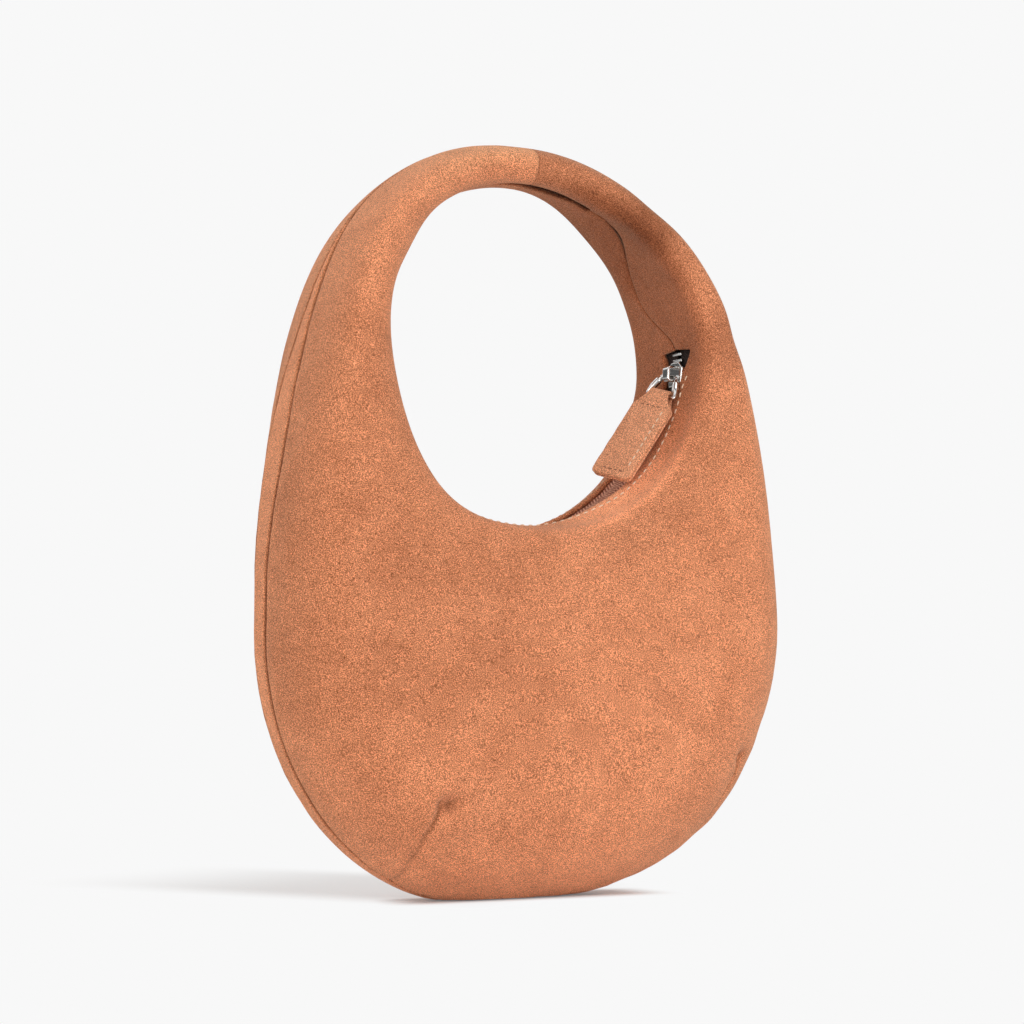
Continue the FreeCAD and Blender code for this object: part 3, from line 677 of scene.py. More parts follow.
# Painted light and shade on the suede: a tint, its strength, and its places in millimetres.
# The radius is from the hole's centre.
HAIR = 0.001
HIGH = ("Z", 205, 255)
RIGHT = ("X", CROSS_SEAM, CROSS_SEAM + HAIR)
LEFT = ("X", CROSS_SEAM + HAIR, CROSS_SEAM)
FRONT = ("Y", -3, -12)
SHINE = (HIGH, LEFT, ("radius", 69, 78))
QUARTER = (FRONT, ("X", 5, 30), ("Z", 192, 176))
PAINTED_LIGHT_TINTS = (
    # Painted shade on the handle right of the cross seam, and painted sheen left of it and next to it
    ((0.55, 0.52, 0.50), 0.55, (HIGH, RIGHT)),
    ((1.22, 1.30, 1.36), 0.34, SHINE),
    ((1.12, 1.42, 1.46), 0.5, SHINE + (("X", -60, -15),)),
    # Painted shade on the wall inside the handle, behind its front
    ((0.56, 0.47, 0.41), 0.85, (("radius", 72.5, 66.8), ("X", 0, 30), ("Z", 150, 175), ("Y", -31, -17))),
    # Painted shade on the front's left side, and painted light on its lower right and along the base
    ((0.885, 0.87, 0.86), 1.0, (FRONT, ("X", 20, -45), ("Z", 40, 85), ("Z", 225, 185))),
    ((1.07, 1.08, 1.09), 1.0, (("X", -30, 30), ("Z", 125, 60))),
    ((1.17, 1.19, 1.21), 1.0, (("Z", 30, 6),)),
    # Beside the zip on the right: painted light on the edge, and painted shade on the crest in front of
    # it
    ((1.38, 1.39, 1.40), 1.0, QUARTER + (("radius", 68.5, 65.0),)),
    ((0.87, 0.87, 0.87), 1.0, QUARTER + (("radius", 66.0, 69.5), ("radius", 86.0, 77.0))),
)
# Painted shade in the hollows of the dents
DENT_SHADE_TINT = (0.66, 0.61, 0.58)
# Painted shade in the seams, the slit and the darts
CREASE_SHADE_TINT = (0.20, 0.16, 0.14)


def painted_light_colour(tree, place, colour):
    """The suede's colour with painted light and shade from the tints, painted shade in the dents, and
    painted shade in the seams.
    """
    axes = split(tree, place)
    axes["radius"] = radius_from(tree, axes, 0.0, HOLE_HEIGHT)
    for tint, strength, places in PAINTED_LIGHT_TINTS:
        share = product(tree, inside(tree, axes, places), strength)
        colour = mix(tree, share, colour, rgba(tint), "MULTIPLY")
    # Painted shade in the hollows of the dents in the front
    for middle, _, reach in DENTS:
        away = radius_from(tree, axes, *middle)
        near = map_range(tree, away, 2.2 * reach * MM, 0.4 * reach * MM)
        dent_shade = product(tree, inside(tree, axes, (FRONT,)), near)
        colour = mix(tree, dent_shade, colour, rgba(DENT_SHADE_TINT), "MULTIPLY")
    # Painted shade in the seams, the slit and the darts, from the stored mask
    return mix(tree, painted_shade_mark(tree), colour, rgba(CREASE_SHADE_TINT), "MULTIPLY")


def suede_material(name, base, painted_light=True):
    """Napped suede: brushed patches, streaks and a fine speckle, and on the bag painted light and shade.
    """
    material, tree = new_material(name, {
        "Specular IOR Level": 0.12, "Sheen Weight": 0.55, "Sheen Roughness": 0.36,
        "Sheen Tint": (1.0, 0.66, 0.46, 1)})
    place = object_place(tree)
    patches = noise(tree, place, 38.0, 5.0, 0.6, 0.9)
    dark = rgba(base, (0.88, 0.85, 0.83))
    light = rgba(base, (1.08, 1.11, 1.14))
    colour = ramp(tree, patches, ((0.30, dark), (0.50, rgba(base)), (0.70, light)))
    streaks = noise(tree, place, 130.0, 4.0, 0.6, 0.5)
    brushed = ramp(tree, streaks, (
        (0.32, (0.88, 0.86, 0.84, 1)), (0.5, grey(1.0)), (0.68, (1.08, 1.10, 1.12, 1))))
    colour = mix(tree, 0.6, colour, brushed, "MULTIPLY")
    grain = noise(tree, place, 2700.0, 2.0, 0.7)
    speck = ramp(tree, grain, (
        (0.33, (0.26, 0.22, 0.20, 1)), (0.5, grey(0.97)), (0.67, (1.95, 2.10, 2.22, 1))))
    colour = mix(tree, 1.0, colour, speck, "MULTIPLY")
    if painted_light:
        colour = painted_light_colour(tree, place, colour)
    rough = map_range(tree, patches, 0.3, 0.7, 0.84, 0.97)
    fine = bumped(tree, grain, 1.0, 0.0005)
    return finished(material, colour, rough, bumped(tree, streaks, 0.35, 0.0012, Normal=fine))


def woven_material(name, first, second, scale, strength=0.6):
    """Plain weave from two crossed waves."""
    material, tree = new_material(name, {"Sheen Weight": 0.1})
    place = object_place(tree)
    wave = {"Vector": place, "Scale": scale, "Distortion": 0.6, "Detail": 1.0}
    weave = product(tree, *(add(tree, "TexWave", wave, "Fac", bands_direction=axis) for axis in "XZ"))
    uneven = noise(tree, place, 160.0, 3.0)
    colour = mix(tree, weave, rgba(first), rgba(second))
    colour = mix(tree, map_range(tree, uneven, 0.3, 0.7, 0.0, 0.35), colour, rgba(first, 0.8))
    rough = map_range(tree, uneven, 0.3, 0.7, 0.75, 0.95)
    return finished(material, colour, rough, bumped(tree, weave, strength, 0.0003))


def twill_material(name, first, second):
    """Herringbone tape by the strip's own UV: along and across the zip, in millimetres."""
    material, tree = new_material(name)
    axes = split(tree, add(tree, "TexCoord", output="UV"))
    band = maths(tree, "PINGPONG", axes["Y"], 2.6)
    slant = maths(tree, "ADD", axes["X"], product(tree, band, 1.1))
    height = map_range(tree, maths(tree, "PINGPONG", slant, 0.75), 0.12, 0.6)
    uneven = noise(tree, object_place(tree), 700.0, 3.0, 0.7)
    colour = mix(tree, height, rgba(first), rgba(second))
    colour = mix(tree, map_range(tree, uneven, 0.35, 0.7, 0.0, 0.5), colour, rgba(first, 0.75))
    # Painted shadow from the painted shade mark, at the slot's closed end
    colour = mix(tree, painted_shade_mark(tree), colour, grey(0.03), "MULTIPLY")
    rough = map_range(tree, uneven, 0.3, 0.7, 0.7, 0.95)
    return finished(material, colour, rough, bumped(tree, height, 0.9, 0.0004))


def metal_material(name, colour, rough):
    """Polished nickel with faint brushing and a little tarnish."""
    material, tree = new_material(name, {"Metallic": 1.0})
    place = object_place(tree)
    haze = noise(tree, place, 420.0, 4.0, 0.6)
    drawn = add(tree, "Mapping", {"Vector": place, "Scale": (1, 1, 7)}, "Vector")
    lines = noise(tree, drawn, 900.0, 2.0)
    tarnish = map_range(tree, haze, 0.4, 0.75, 0.0, 0.35)
    shade = mix(tree, tarnish, rgba(colour), rgba(colour, 0.72))
    rough = map_range(tree, haze, 0.3, 0.7, rough * 0.7, rough * 1.4)
    return finished(material, shade, rough, bumped(tree, lines, 0.08, 0.0001))


def thread_material(name, colour):
    """Twisted sewing thread."""
    material, tree = new_material(name)
    wave = {"Vector": object_place(tree), "Scale": 900.0, "Distortion": 1.0}
    twist = add(tree, "TexWave", wave, "Fac", bands_direction="DIAGONAL")
    shade = mix(tree, twist, rgba(colour, 0.7), rgba(colour))
    rough = map_range(tree, twist, 0.0, 1.0, 0.6, 0.8)
    return finished(material, shade, rough, bumped(tree, twist, 0.4, 0.0001))


SUEDE_COLOUR = (0.655, 0.246, 0.116)
suede = suede_material("suede", SUEDE_COLOUR)
# The gusset's suede is brighter: partly a lighter cut of hide, partly painted light on its sides
gusset_hide_and_painted_light_suede = suede_material("gusset_hide_and_painted_light_suede", np.array(SUEDE_COLOUR) * 1.18)
tab_suede = suede_material("tab_suede", (0.69, 0.30, 0.157), painted_light=False)
lining_cloth = woven_material("lining_cloth", (0.36, 0.20, 0.13), (0.46, 0.28, 0.19), 260.0)
padding_felt = woven_material("padding_felt", (0.06, 0.045, 0.035), (0.09, 0.07, 0.055), 420.0, 0.4)
stiff_board = woven_material("stiff_board", (0.16, 0.15, 0.14), (0.24, 0.23, 0.22), 300.0, 0.3)
tape_twill = twill_material("tape_twill", (0.30, 0.085, 0.045), (1.0, 0.52, 0.34))
nickel = metal_material("nickel", (0.74, 0.73, 0.71), 0.10)
tooth_metal = metal_material("tooth_metal", (0.60, 0.59, 0.57), 0.22)
cream_thread = thread_material("cream_thread", (0.92, 0.68, 0.48))
brown_thread = thread_material("brown_thread", (0.30, 0.12, 0.065))


# Suede panels, padding and lining
PAST_FLAT = 1e3  # a start that the grid brings back to the end of the rim's flat
LAYER_COUNTS = (3, 10, 16)
degrees = panel_degrees()
pouch = np.linspace(8.0, -188.0, 110)
skins = {}
for label, side in (("front", 1), ("back", -1)):
    edge = seam_depth(np.radians(degrees), side)
    start = rim_depth(degrees, side)
    stand = {"lip": rim_lip(degrees, side), "swell": rises(degrees, SWELLS[side]),
             "puff": rises(degrees, PUFFS[side])}
    bare = skin_grid(degrees, side, 0.0, start, edge, **stand)
    dressed = dress(bare, side)
    backing = skin_grid(degrees, side, SUEDE, start, edge, **stand)
    skins[side] = settle(dressed)
    inner = settle(backing + (dressed - bare))
    panel = shell_object(f"{label}_panel_suede", skins[side], inner, suede, side < 0)
    painted_shade = crease_shade_grid(degrees, bare, start, side)
    # Painted shade: the inner face is darkened all over, so the inside and the gaps at the seams show
    # dark
    mark_painted_shade(panel, painted_shade, np.ones_like(painted_shade))
    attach(panel, "bag")
    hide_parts(f"{label}_panel")
    # Inset, thickness, start, outer edge, material and slot of the layers inside
    layers = {
        "interlining": (1.9, 0.8, PAST_FLAT, seam_depth(np.radians(pouch), side) + 0.8,
                        padding_felt, "padding"),
        "lining": (3.0, 0.5, SLOT_HALF + side * ZIP_OFFSET + 3.3, np.full_like(pouch, 0.2),
                   lining_cloth, "lining")}
    for layer, (inset, thick, first, edges, material, slot) in layers.items():
        begin = np.full_like(pouch, first)
        faces = [settle(skin_grid(pouch, side, depth, begin, edges, False, counts=LAYER_COUNTS))
                 for depth in (inset, inset + thick)]
        for face in faces:
            face[..., 2] += 0.9 * np.exp(-np.maximum(face[..., 2], 0) / 8.0)
            face -= grid_normals(face, side) * dart_give(face)[..., None]
        sheet = shell_object(f"{label}_{layer}_sheet", *faces, material, side < 0)
        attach(sheet, "bag")
        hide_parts(f"{label}_{layer}")


# Gusset and the stiffener in it
STRIP_FINE = (0.0, 0.07, 0.2, 0.36, 0.55, 0.78, 1.05, 1.4, 1.85, 2.4, 3.1, 3.9, 4.75, 5.6, 6.5)
STRIP_CROWN = 0.25
BOARD_TURNS = (-76.5, -103.5)
BOARD_HALF = 4.0
BOARD_INSETS = (1.75, 2.5)
BOARD_LIFT = 0.4


def strip_grid(turns, inset, front, back, crown, edge_dip=SEAM_ROLL[1]):
    """Points across a strip along the outline, closer at its edges, and their distance to these."""
    turn = np.radians(turns)[:, None]
    share = np.array(STRIP_FINE) / STRIP_FINE[-1] - 1
    share = np.concatenate((share, -share[-2::-1]))
    half = np.where(share > 0, front[:, None], back[:, None])
    distance = half * (1 - np.abs(share))
    dip = roll(distance, SEAM_ROLL[0], edge_dip)
    radius = outline_radius(turn) - inset - dip + crown * (1 - share ** 2)
    return ring_points(radius, turn, -share * half), distance


tip_width = float(half_width(np.array(GUSSET_RISE)))
tip_degrees = math.degrees(math.atan2(GUSSET_RISE - HOLE_HEIGHT, tip_width))
strip_turns = np.linspace(tip_degrees, -180 - tip_degrees, 360)
strip_height = outline_height(np.radians(strip_turns))
strip_half = gusset_half(strip_height)
strip_back = back_half(strip_height)
strip, edge_distance = strip_grid(strip_turns, 0.0, strip_half, strip_back, STRIP_CROWN)
strip_crease_shade = peak(edge_distance, CREASE_SHADE_REACH)
lift = undulation(strip, STRIP_UNEVEN)
strip = settle(strip + grid_normals(strip, -1) * lift[..., None])
strip_inner = settle(strip_grid(strip_turns, SUEDE, strip_half, strip_back, STRIP_CROWN)[0])
gusset = shell_object("gusset_suede", strip, strip_inner, gusset_hide_and_painted_light_suede, True)
# Painted shade: the inner face is darkened all over, so the inside and the gaps at the seams show dark
mark_painted_shade(gusset, strip_crease_shade, np.ones_like(strip_crease_shade))
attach(gusset, "bag")
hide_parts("gusset")

board_turns = np.linspace(*BOARD_TURNS, 40)
board_half = np.full_like(board_turns, BOARD_HALF)
board = [settle(strip_grid(board_turns, depth, board_half, board_half, 0.0, 0.0)[0])
         + np.array((0, 0, BOARD_LIFT)) for depth in BOARD_INSETS]
stiffener = shell_object("base_stiffener_board", *board, stiff_board, True)
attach(stiffener, "bag")
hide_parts("base_stiffener")


# Filler in the handle
CORE_INSET = 2.4
CORE_TURNS = (25.0, 155.0)
core_turns = np.linspace(*CORE_TURNS, 70)
core_middle = np.zeros_like(core_turns)
front_core = skin_grid(core_turns, 1, CORE_INSET, core_middle, core_middle, False, counts=(4, 8, 12))
back_core = front_core[:, ::-1] * np.array((1, -1, 1))
ring = settle(np.concatenate((front_core, back_core[:, 1:-1]), axis=1))
core = make_object("handle_core_filler", ring.reshape(-1, 3), tube_faces(*ring.shape[:2]), padding_felt)
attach(core, "bag")
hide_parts("handle_core")


# Zip tapes
TAPE_STRETCH = 0.8
TAPE_UNDER = 0.4


def tape_strip(node, side):
    """A tape along the slot. Side is -1 in front, and 1 behind, where it is wider and rises."""
    turns = np.linspace(SLOT_ANGLE, -180 - SLOT_ANGLE, 260)[:, None]
    across = np.linspace(TAPE_EDGE, TAPE_REACH, 22)
    stretch = 1 + TAPE_STRETCH * back_drawn(turns) * (side > 0)
    depth = side * (TAPE_EDGE + (across - TAPE_EDGE) * stretch) - ZIP_OFFSET
    back_edge = rim_lip(turns, -1) + rises(turns, SWELLS[-1])
    rise = np.maximum(back_edge - TAPE_UNDER, 0) * (side > 0) * smooth(3.0, 10.0, across)
    ripple = 0.08 * np.sin(turns * 0.9 + across) * (across > 4)
    grids = [ring_points(radius - rise + ripple, np.radians(turns), depth)
             for radius in (TAPE_TOP, TAPE_BOTTOM)]
    piece = shell_object(f"{node}_weave", *grids, tape_twill, side < 0)
    arc = np.radians(SLOT_ANGLE - turns) * TAPE_TOP
    flat = np.stack(np.broadcast_arrays(arc, across), axis=-1).reshape(-1, 2)
    corners = np.zeros(len(piece.data.loops), dtype=np.int32)
    piece.data.loops.foreach_get("vertex_index", corners)
    layer = piece.data.uv_layers.new(name="strip")
    layer.data.foreach_set("uv", np.tile(flat, (2, 1))[corners].astype(np.float32).ravel())
    # Painted shadow on both faces of the tape: full at the slot's closed end, gone 34 degrees along
    shade = np.repeat(1 - smooth(6, 34, down(turns)), len(across))
    mark_painted_shade(piece, shade, shade)
    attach(piece, "bag")
    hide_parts(node)


tape_strip("zip_tape_front", -1)
tape_strip("zip_tape_back", 1)


# Stitches: short bent capsules laid along a line on a surface
STITCH_SIDES = 8
STITCH_FLATTER = 0.85
# Share along the stitch, how thick it is there, and how far it stands up
STITCH_PROFILE = ((0.0, 0.25, -0.55), (0.06, 0.7, -0.2), (0.2, 1.0, 0.25), (0.5, 1.05, 0.45),
                  (0.8, 1.0, 0.25), (0.94, 0.7, -0.2), (1.0, 0.25, -0.55))


def stitch_mesh(name, pairs, thick, material, body):
    """One mesh of stitches. Each pair gives the stitch's ends and the surface normal."""
    points = []
    faces = []
    for start, end, normal in pairs:
        along = end - start
        normal = normal - along * (normal @ along) / (along @ along)
        normal = normal / np.linalg.norm(normal)
        across = np.cross(along, normal)
        across = across / np.linalg.norm(across)
        faces += tube_faces(len(STITCH_PROFILE), STITCH_SIDES, len(points))
        for share, swell, rise in STITCH_PROFILE:
            middle = start + along * share + normal * rise * thick
            wide = thick * swell
            points.extend(tube_ring(middle, wide * across, wide * STITCH_FLATTER * normal, STITCH_SIDES))
    piece = make_object(name, points, faces, material)
    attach(piece, body)


def arc_lengths(points):
    """Distance along a polyline at each of its points."""
    return np.concatenate(([0], np.cumsum(np.linalg.norm(np.diff(points, axis=0), axis=1))))


def at_arc(places, arc, values):
    """A polyline's points or normals at distances along it."""
    return np.stack([np.interp(places, arc, values[:, axis]) for axis in range(3)], axis=-1)


def along_line(points, normals, pitch, length):
    """Stitches of a length, a pitch apart, along a polyline."""
    arc = arc_lengths(points)
    places = np.arange(pitch / 2, arc[-1] - length, pitch)
    return list(zip(at_arc(places, arc, points), at_arc(places + length, arc, points),
                    at_arc(places + length / 2, arc, normals)))


# Pitch and length of the stitches in each kind of row
SLOT_ROW = (3.4, 2.1)
TAB_EDGE_ROW = (3.0, 2.0)
TAB_END_ROW = (2.6, 1.7)
# For each side: degrees that the row keeps from the slot's ends
STITCH_ENDS = {1: 2, -1: 16}
BACK_STITCH_INWARD = 4.2
for label, side in (("front", 1), ("back", -1)):
    grid = skins[side]
    normals = grid_normals(grid, side)
    line = []
    facing = []
    for row in np.where(past_end(degrees) > STITCH_ENDS[side])[0]:
        arc = arc_lengths(grid[row])
        inward = BACK_STITCH_INWARD
        if side > 0:
            inward = 2.4 + 3.2 * (1 - smooth(50, 85, down(degrees[row])))
        line.append(at_arc(inward, arc, grid[row]))
        facing.append(at_arc(inward, arc, normals[row]))
    pairs = along_line(np.array(line), np.array(facing), *SLOT_ROW)
    stitch_mesh(f"{label}_slot_stitches", pairs, 0.29, cream_thread, "bag")


# Pull tab: one strip folded round the stirrup's bar, sewn together
TAB_NORMAL = np.cross(TAB_WAY, PULL_AXIS)
TAB_EDGE_ROUND = 0.9
TAB_FLAT_SHARE = 0.86
TAB_FOLD_END = 2.8


def tab_place(along, across, away):
    steps = ((along, TAB_WAY), (across, PULL_AXIS), (away, TAB_NORMAL))
    return BAR + sum(np.multiply.outer(distance, way) for distance, way in steps)


def tab_half(along):
    """Half the tab's width at a distance from the bar, with rounded end corners."""
    widen = np.clip((along - TAB_NECK_RUN) / (TAB_SHOULDER - TAB_NECK_RUN), 0, 1)
    half = TAB_NECK_HALF + (TAB_HALF - TAB_NECK_HALF) * widen
    past = np.clip((along - (TAB_LENGTH - TAB_CORNER)) / TAB_CORNER, 0, 1)
    return half - TAB_CORNER * (1 - np.sqrt(np.maximum(1 - past ** 2, 0)))


def tab_open(along):
    """1 at the fold and 0 where the two halves lie on each other."""
    return 1 - smooth(1.5, 7.0, along)


def tab_bend(along):
    """How far the tab bends away below the fold."""
    return 0.0042 * np.maximum(along - 8, 0) ** 1.35


def tab_path():
    """The strip's middle line: along, away, and the outward direction in both."""
    layer = TAB_LEATHER / 2 + TAB_GAP
    run = np.linspace(TAB_LENGTH, TAB_FOLD_END, 56)
    none = np.zeros_like(run)
    leg = np.stack((run, -layer - (FOLD_RADIUS - layer) * tab_open(run), none, none - 1), axis=1)
    swing = np.radians(np.linspace(-90, -270, 26)[1:-1])
    out = np.stack((np.cos(swing), np.sin(swing)), axis=1)
    fold = np.concatenate((FOLD_RADIUS * out, out), axis=1)
    return np.concatenate((leg, fold, leg[::-1] * np.array((1, -1, 1, -1))))


flat_shares = np.linspace(-TAB_FLAT_SHARE, TAB_FLAT_SHARE, 21)
edge_shares = np.linspace(TAB_FLAT_SHARE, 1, 8)[1:]
along, away, out_along, out_away = tab_path().T[..., None]
half = tab_half(np.maximum(along, 0))
across = np.concatenate((-edge_shares[::-1], flat_shares, edge_shares)) * half
border = np.minimum(half - np.abs(across), TAB_LENGTH - along)
rounding = np.clip(border / TAB_EDGE_ROUND, 0, 1)
thick = TAB_LEATHER / 2 * np.sqrt(np.maximum(1 - (1 - rounding) ** 2, 0.02))
wobble = 0.06 * np.sin(across * 1.3 + along * 0.7) + 0.05 * np.sin(along * 0.9)
away = away - tab_bend(along) + wobble
tab_faces = [tab_place(along + out_along * way * thick, across, away + out_away * way * thick)
             for way in (1, -1)]
tab = shell_object("pull_tab_suede", *tab_faces, tab_suede, True)
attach(tab, "tab")
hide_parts("pull_tab")

ROW_TOP = 6.0
ROW_BOTTOM = 36.4
ROW_ASIDE = 6.4


def tab_line(starts, ends, face, count=40):
    """A straight row on a face of the tab, and its normals."""
    along, across = np.linspace(starts, ends, count).T
    opening = TAB_LEATHER + TAB_GAP + (FOLD_RADIUS - TAB_LEATHER / 2) * tab_open(along)
    places = tab_place(along, across, face * opening - tab_bend(along))
    return places, np.tile(face * TAB_NORMAL, (count, 1))


for face, label in ((-1, "upper"), (1, "under")):
    pairs = along_line(*tab_line((ROW_TOP, -ROW_ASIDE), (ROW_BOTTOM, -ROW_ASIDE), face), *TAB_EDGE_ROW)
    stitch_mesh(f"tab_{label}_edge_stitches", pairs, 0.24, cream_thread, "tab")
    pairs = along_line(*tab_line((ROW_BOTTOM, -ROW_ASIDE), (ROW_BOTTOM, ROW_ASIDE), face), *TAB_END_ROW)
    pairs += along_line(*tab_line((ROW_TOP, ROW_ASIDE), (ROW_TOP, -ROW_ASIDE), face), *TAB_END_ROW)
    stitch_mesh(f"tab_{label}_end_stitches", pairs, 0.22, brown_thread, "tab")


# Metal: the slider softened like a casting, and the stops with rounded edges
CAST_VOXEL = 0.16
SAME_PLACE = 1e-7
FLAT_ANGLE = math.radians(1)
SHARP_ANGLE = math.radians(38)
SHADED_ANGLE = math.radians(32)


def cast_mesh(piece, rounds):
    """The piece's mesh, filled with small voxels and smoothed in so many rounds."""
    remesh = piece.modifiers.new("remesh", "REMESH")
    remesh.mode = "VOXEL"
    remesh.voxel_size = CAST_VOXEL * MM
    soften = piece.modifiers.new("soften", "SMOOTH")
    soften.factor = 0.5
    soften.iterations = rounds
    graph = bpy.context.evaluated_depsgraph_get()
    mesh = bpy.data.meshes.new_from_object(piece.evaluated_get(graph))
    mesh.name = f"{piece.name}_cast"
    piece.modifiers.clear()
    return mesh


def rounded_copy(node, body, width, broad=1.0, cast=0):
    """A metal solid with rounded edges, broader across the zip and cast soft where asked."""
    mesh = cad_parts[node].data.copy()
    mesh.name = f"{node}_polished"
    shape = bmesh.new()
    shape.from_mesh(mesh)
    for vertex in shape.verts:
        vertex.co.y = -ZIP_OFFSET * MM + (vertex.co.y + ZIP_OFFSET * MM) * broad
    bmesh.ops.remove_doubles(shape, verts=shape.verts, dist=SAME_PLACE)
    bmesh.ops.dissolve_limit(shape, angle_limit=FLAT_ANGLE, verts=shape.verts, edges=shape.edges)
    sharp = [edge for edge in shape.edges
             if len(edge.link_faces) == 2 and edge.calc_face_angle() > SHARP_ANGLE]
    bmesh.ops.bevel(shape, geom=sharp, offset=width * MM, segments=3, profile=0.5, affect="EDGES",
                    clamp_overlap=True)
    bmesh.ops.triangulate(shape, faces=[face for face in shape.faces if len(face.verts) > 4])
    shape.to_mesh(mesh)
    shape.free()
    piece = link_object(f"{node}_polished", mesh)
    if cast:
        piece.data = cast_mesh(piece, cast)
    finish_mesh(piece.data, nickel)
    if not cast:
        piece.data.set_sharp_from_angle(angle=SHADED_ANGLE)
    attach(piece, body)
    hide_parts(node)


rounded_copy("slider_body", "slider", 0.22, cast=9)
rounded_copy("slider_crown", "slider", 0.3, 1.7, cast=30)
for node in ("zip_top_stop_upper", "zip_top_stop_lower", "zip_bottom_stop"):
    rounded_copy(node, "bag", 0.18)

LINK_TURN = math.radians(7)
LINK_LENGTH = 8.4
LINK_NARROW_HALF = 3.3
LINK_WIDE_HALF = 6.8
LINK_WAY = TAB_WAY * math.cos(LINK_TURN) - np.cross(PULL_AXIS, TAB_WAY) * math.sin(LINK_TURN)
LINK_PIVOT = BAR - LINK_WAY * LINK_LENGTH
WIRE_BEND = 0.9
WIRE_SIDES = 16
WIRE_RADIUS = 0.7
ARM_FULLER = 0.65


def toward(here, other, distance):
    return here + (other - here) / np.linalg.norm(other - here) * distance


# The stirrup: a closed loop of wire with round corners, thicker along its two arms
corners = np.array(((0, -LINK_NARROW_HALF), (0, LINK_NARROW_HALF),
                    (LINK_LENGTH, LINK_WIDE_HALF), (LINK_LENGTH, -LINK_WIDE_HALF)))
line = []
for here, before, after in zip(corners, np.roll(corners, 1, axis=0), np.roll(corners, -1, axis=0)):
    start = toward(here, before, WIRE_BEND)
    end = toward(here, after, WIRE_BEND)
    share = np.linspace(0, 1, 9)[:, None]
    line.extend((1 - share) ** 2 * start + 2 * share * (1 - share) * here + share ** 2 * end)
    line.extend(np.linspace(end, toward(after, here, WIRE_BEND), 14)[1:-1])
ways = np.roll(line, -1, axis=0) - np.roll(line, 1, axis=0)
ways /= np.linalg.norm(ways, axis=1, keepdims=True)
upright = np.cross(LINK_WAY, PULL_AXIS)
points = []
for (along, across), way in zip(line, ways):
    middle = LINK_PIVOT + LINK_WAY * along + PULL_AXIS * across
    beside = LINK_WAY * way[1] - PULL_AXIS * way[0]
    arm = smooth(0.8, 2.4, along) * (1 - smooth(LINK_LENGTH - 3.6, LINK_LENGTH - 0.4, along))
    thick = WIRE_RADIUS + ARM_FULLER * arm
    points.extend(tube_ring(middle, thick * beside, thick * upright, WIRE_SIDES))
wire = make_object("pull_link_wire", points, tube_faces(len(line), WIRE_SIDES, closed=True), nickel)
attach(wire, "link")
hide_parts("pull_link")
for node in ("zip_teeth_front", "zip_teeth_back"):
    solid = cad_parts[node]
    solid.data.materials.clear()
    solid.data.materials.append(tooth_metal)


# Floor, light and camera
FLOOR_SIZE = 8.0
FLOOR_DROP = 0.0004
BACKDROP = grey(0.939)
SHADOW_WAY = (0.87, 0.50)  # cosine and sine of the shadow's turn on the floor
SHADOW_DARK = 0.52
SHADOW_PLACES = (("aside", -62, -20), ("aside", 85, 45), ("onward", -20, 30), ("onward", 215, 90))
CONTACT_DARK = 0.85
CONTACT_PLACES = (("across", 22, 6), ("along", 64, 40))


def seen_rays(tree, rays):
    """1 for what the camera sees, straight or through something clear."""
    return maths(tree, "MAXIMUM", rays.outputs["Is Camera Ray"], rays.outputs["Is Transmission Ray"])


def mix_shader(tree, share, first, second):
    return add(tree, "MixShader", {0: share, 1: first, 2: second}, 0)


def floor_material():
    """A floor that shows the backdrop's white, and light and shade only round the bag."""
    material = bpy.data.materials.new("pale_floor")
    tree = cleared(material)
    place = object_place(tree)
    axes = split(tree, place)
    x, y = axes["X"], axes["Y"]
    long, short = SHADOW_WAY
    axes["onward"] = maths(tree, "SUBTRACT", product(tree, y, long), product(tree, x, short))
    axes["aside"] = maths(tree, "ADD", product(tree, x, long), product(tree, y, short))
    axes["across"] = maths(tree, "ABSOLUTE", y)
    axes["along"] = maths(tree, "ABSOLUTE", x)
    shadow = product(tree, inside(tree, axes, SHADOW_PLACES), SHADOW_DARK)
    contact = product(tree, inside(tree, axes, CONTACT_PLACES), CONTACT_DARK)
    dark = maths(tree, "MAXIMUM", shadow, contact)
    rays = add(tree, "LightPath")
    share = product(tree, maths(tree, "SUBTRACT", 1.0, dark), seen_rays(tree, rays))
    paper = map_range(tree, noise(tree, place, 60.0), 0.3, 0.7, 0.0, 0.02)
    tone = mix(tree, paper, grey(0.86), grey(0.83))
    tone = mix(tree, rays.outputs["Is Glossy Ray"], tone, (0.40, 0.38, 0.37, 1))
    matte = add(tree, "BsdfDiffuse", {"Color": tone}, 0)
    glow = add(tree, "Emission", {"Color": BACKDROP, "Strength": 1.0}, 0)
    add(tree, "OutputMaterial", {"Surface": mix_shader(tree, share, matte, glow)})
    return material


bpy.ops.mesh.primitive_plane_add(size=FLOOR_SIZE, location=(0, 0, -FLOOR_DROP))
floor = bpy.context.object
floor.name = "floor"
floor.data.materials.append(floor_material())

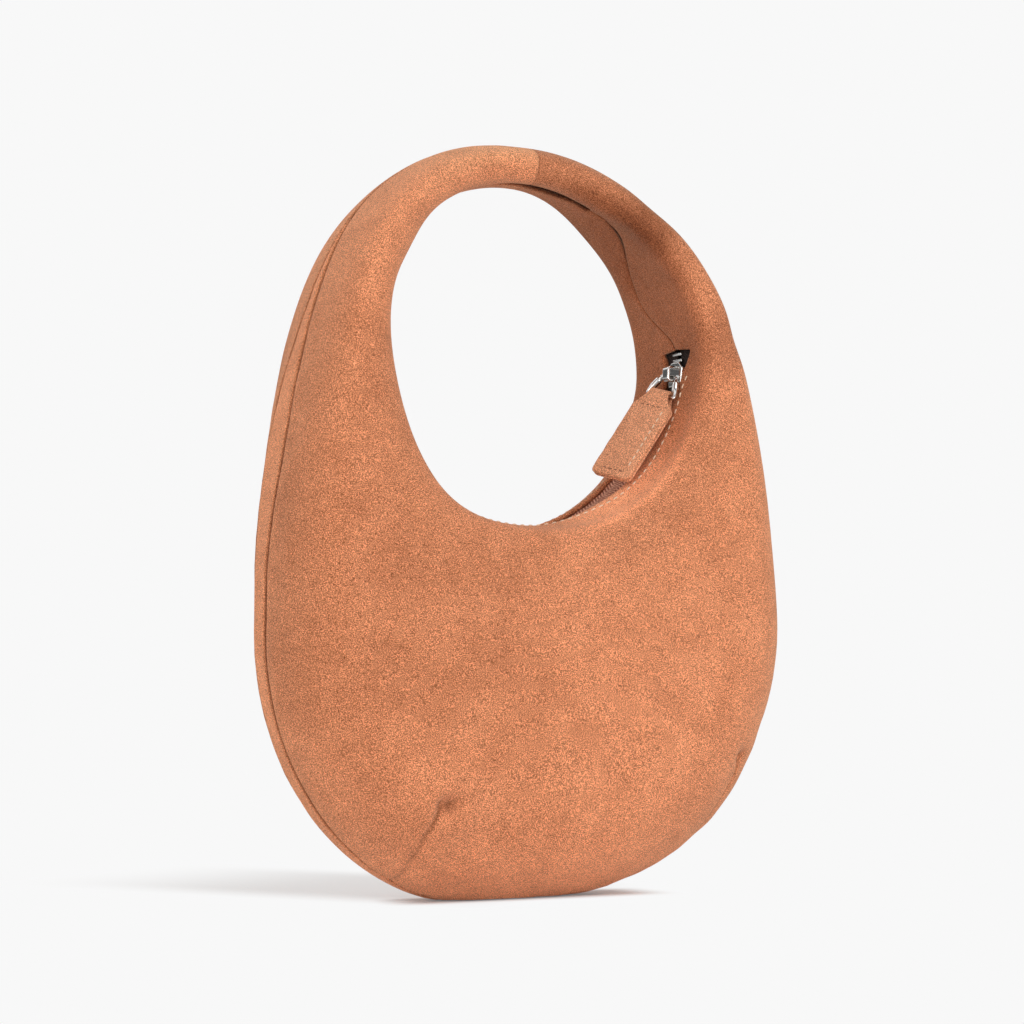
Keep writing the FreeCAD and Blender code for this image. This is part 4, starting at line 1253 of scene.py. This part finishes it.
# World: the backdrop for the camera, soft boxes for reflections, and an even light
SOFT_BOXES = ((0.30, 0.45), (0.40, 0.92), (0.47, 0.10), (0.51, 0.10), (0.56, 1.0), (0.68, 1.0),
              (0.75, 0.12), (0.90, 0.90))
world = bpy.data.worlds.new("studio")
bpy.context.scene.world = world
tree = cleared(world)
rays = add(tree, "LightPath")
heading = split(tree, add(tree, "TexCoord", output="Generated"))
slanted = maths(tree, "ADD", heading["Z"], product(tree, heading["X"], 0.35))
boxes = ramp(tree, maths(tree, "MULTIPLY_ADD", slanted, 0.5, 0.5),
             [(position, grey(level)) for position, level in SOFT_BOXES])
ambient = add(tree, "Background", {"Color": (1.0, 0.99, 0.98, 1), "Strength": 0.55}, 0)
white = add(tree, "Background", {"Color": BACKDROP, "Strength": 1.0}, 0)
mirrored = add(tree, "Background", {"Color": boxes, "Strength": 1.0}, 0)
plain_sky = mix_shader(tree, rays.outputs["Is Glossy Ray"], ambient, mirrored)
sky = mix_shader(tree, seen_rays(tree, rays), plain_sky, white)
add(tree, "OutputWorld", {"Surface": sky})

# Name, place, height that it is aimed at, size and power
LIGHTS = (
    ("key", (0.80, -1.15, 0.95), 0.12, 0.8, 4.7),
    ("front_fill", (-1.40, -0.85, 0.22), 0.13, 1.2, 5.6),
    ("top", (0.10, -0.90, 1.60), 0.13, 0.9, 4.6),
    ("rim", (-0.30, 0.90, 1.20), 0.20, 0.8, 2.2),
    ("side_low", (-1.20, -0.35, 0.12), 0.06, 0.6, 2.6),
    ("low", (0.10, -1.00, 0.10), 0.04, 0.5, 3.2),
)
LIGHT_COLOUR = (1.0, 0.98, 0.96)
for name, place, height, size, power in LIGHTS:
    lamp = bpy.data.lights.new(name, "AREA")
    lamp.shape = "DISK"
    lamp.size = size
    lamp.energy = power
    lamp.color = LIGHT_COLOUR
    holder = link_object(name, lamp)
    holder.location = place
    way = Vector((0, 0, height)) - Vector(place)
    holder.rotation_euler = way.to_track_quat("-Z", "Y").to_euler()

camera_data = bpy.data.cameras.new("camera")
camera_data.sensor_width = 36.0
camera_data.lens = CAMERA_LENS
camera = link_object("camera", camera_data)
level = math.cos(CAMERA_ELEVATION)
backward = Vector((math.sin(CAMERA_AZIMUTH) * level, -math.cos(CAMERA_AZIMUTH) * level,
                   math.sin(CAMERA_ELEVATION)))
camera.location = Vector(CAMERA_TARGET) + backward * CAMERA_DISTANCE
camera.rotation_euler = (-backward).to_track_quat("-Z", "Y").to_euler()
bpy.context.scene.camera = camera
bpy.context.scene.view_settings.view_transform = "Standard"
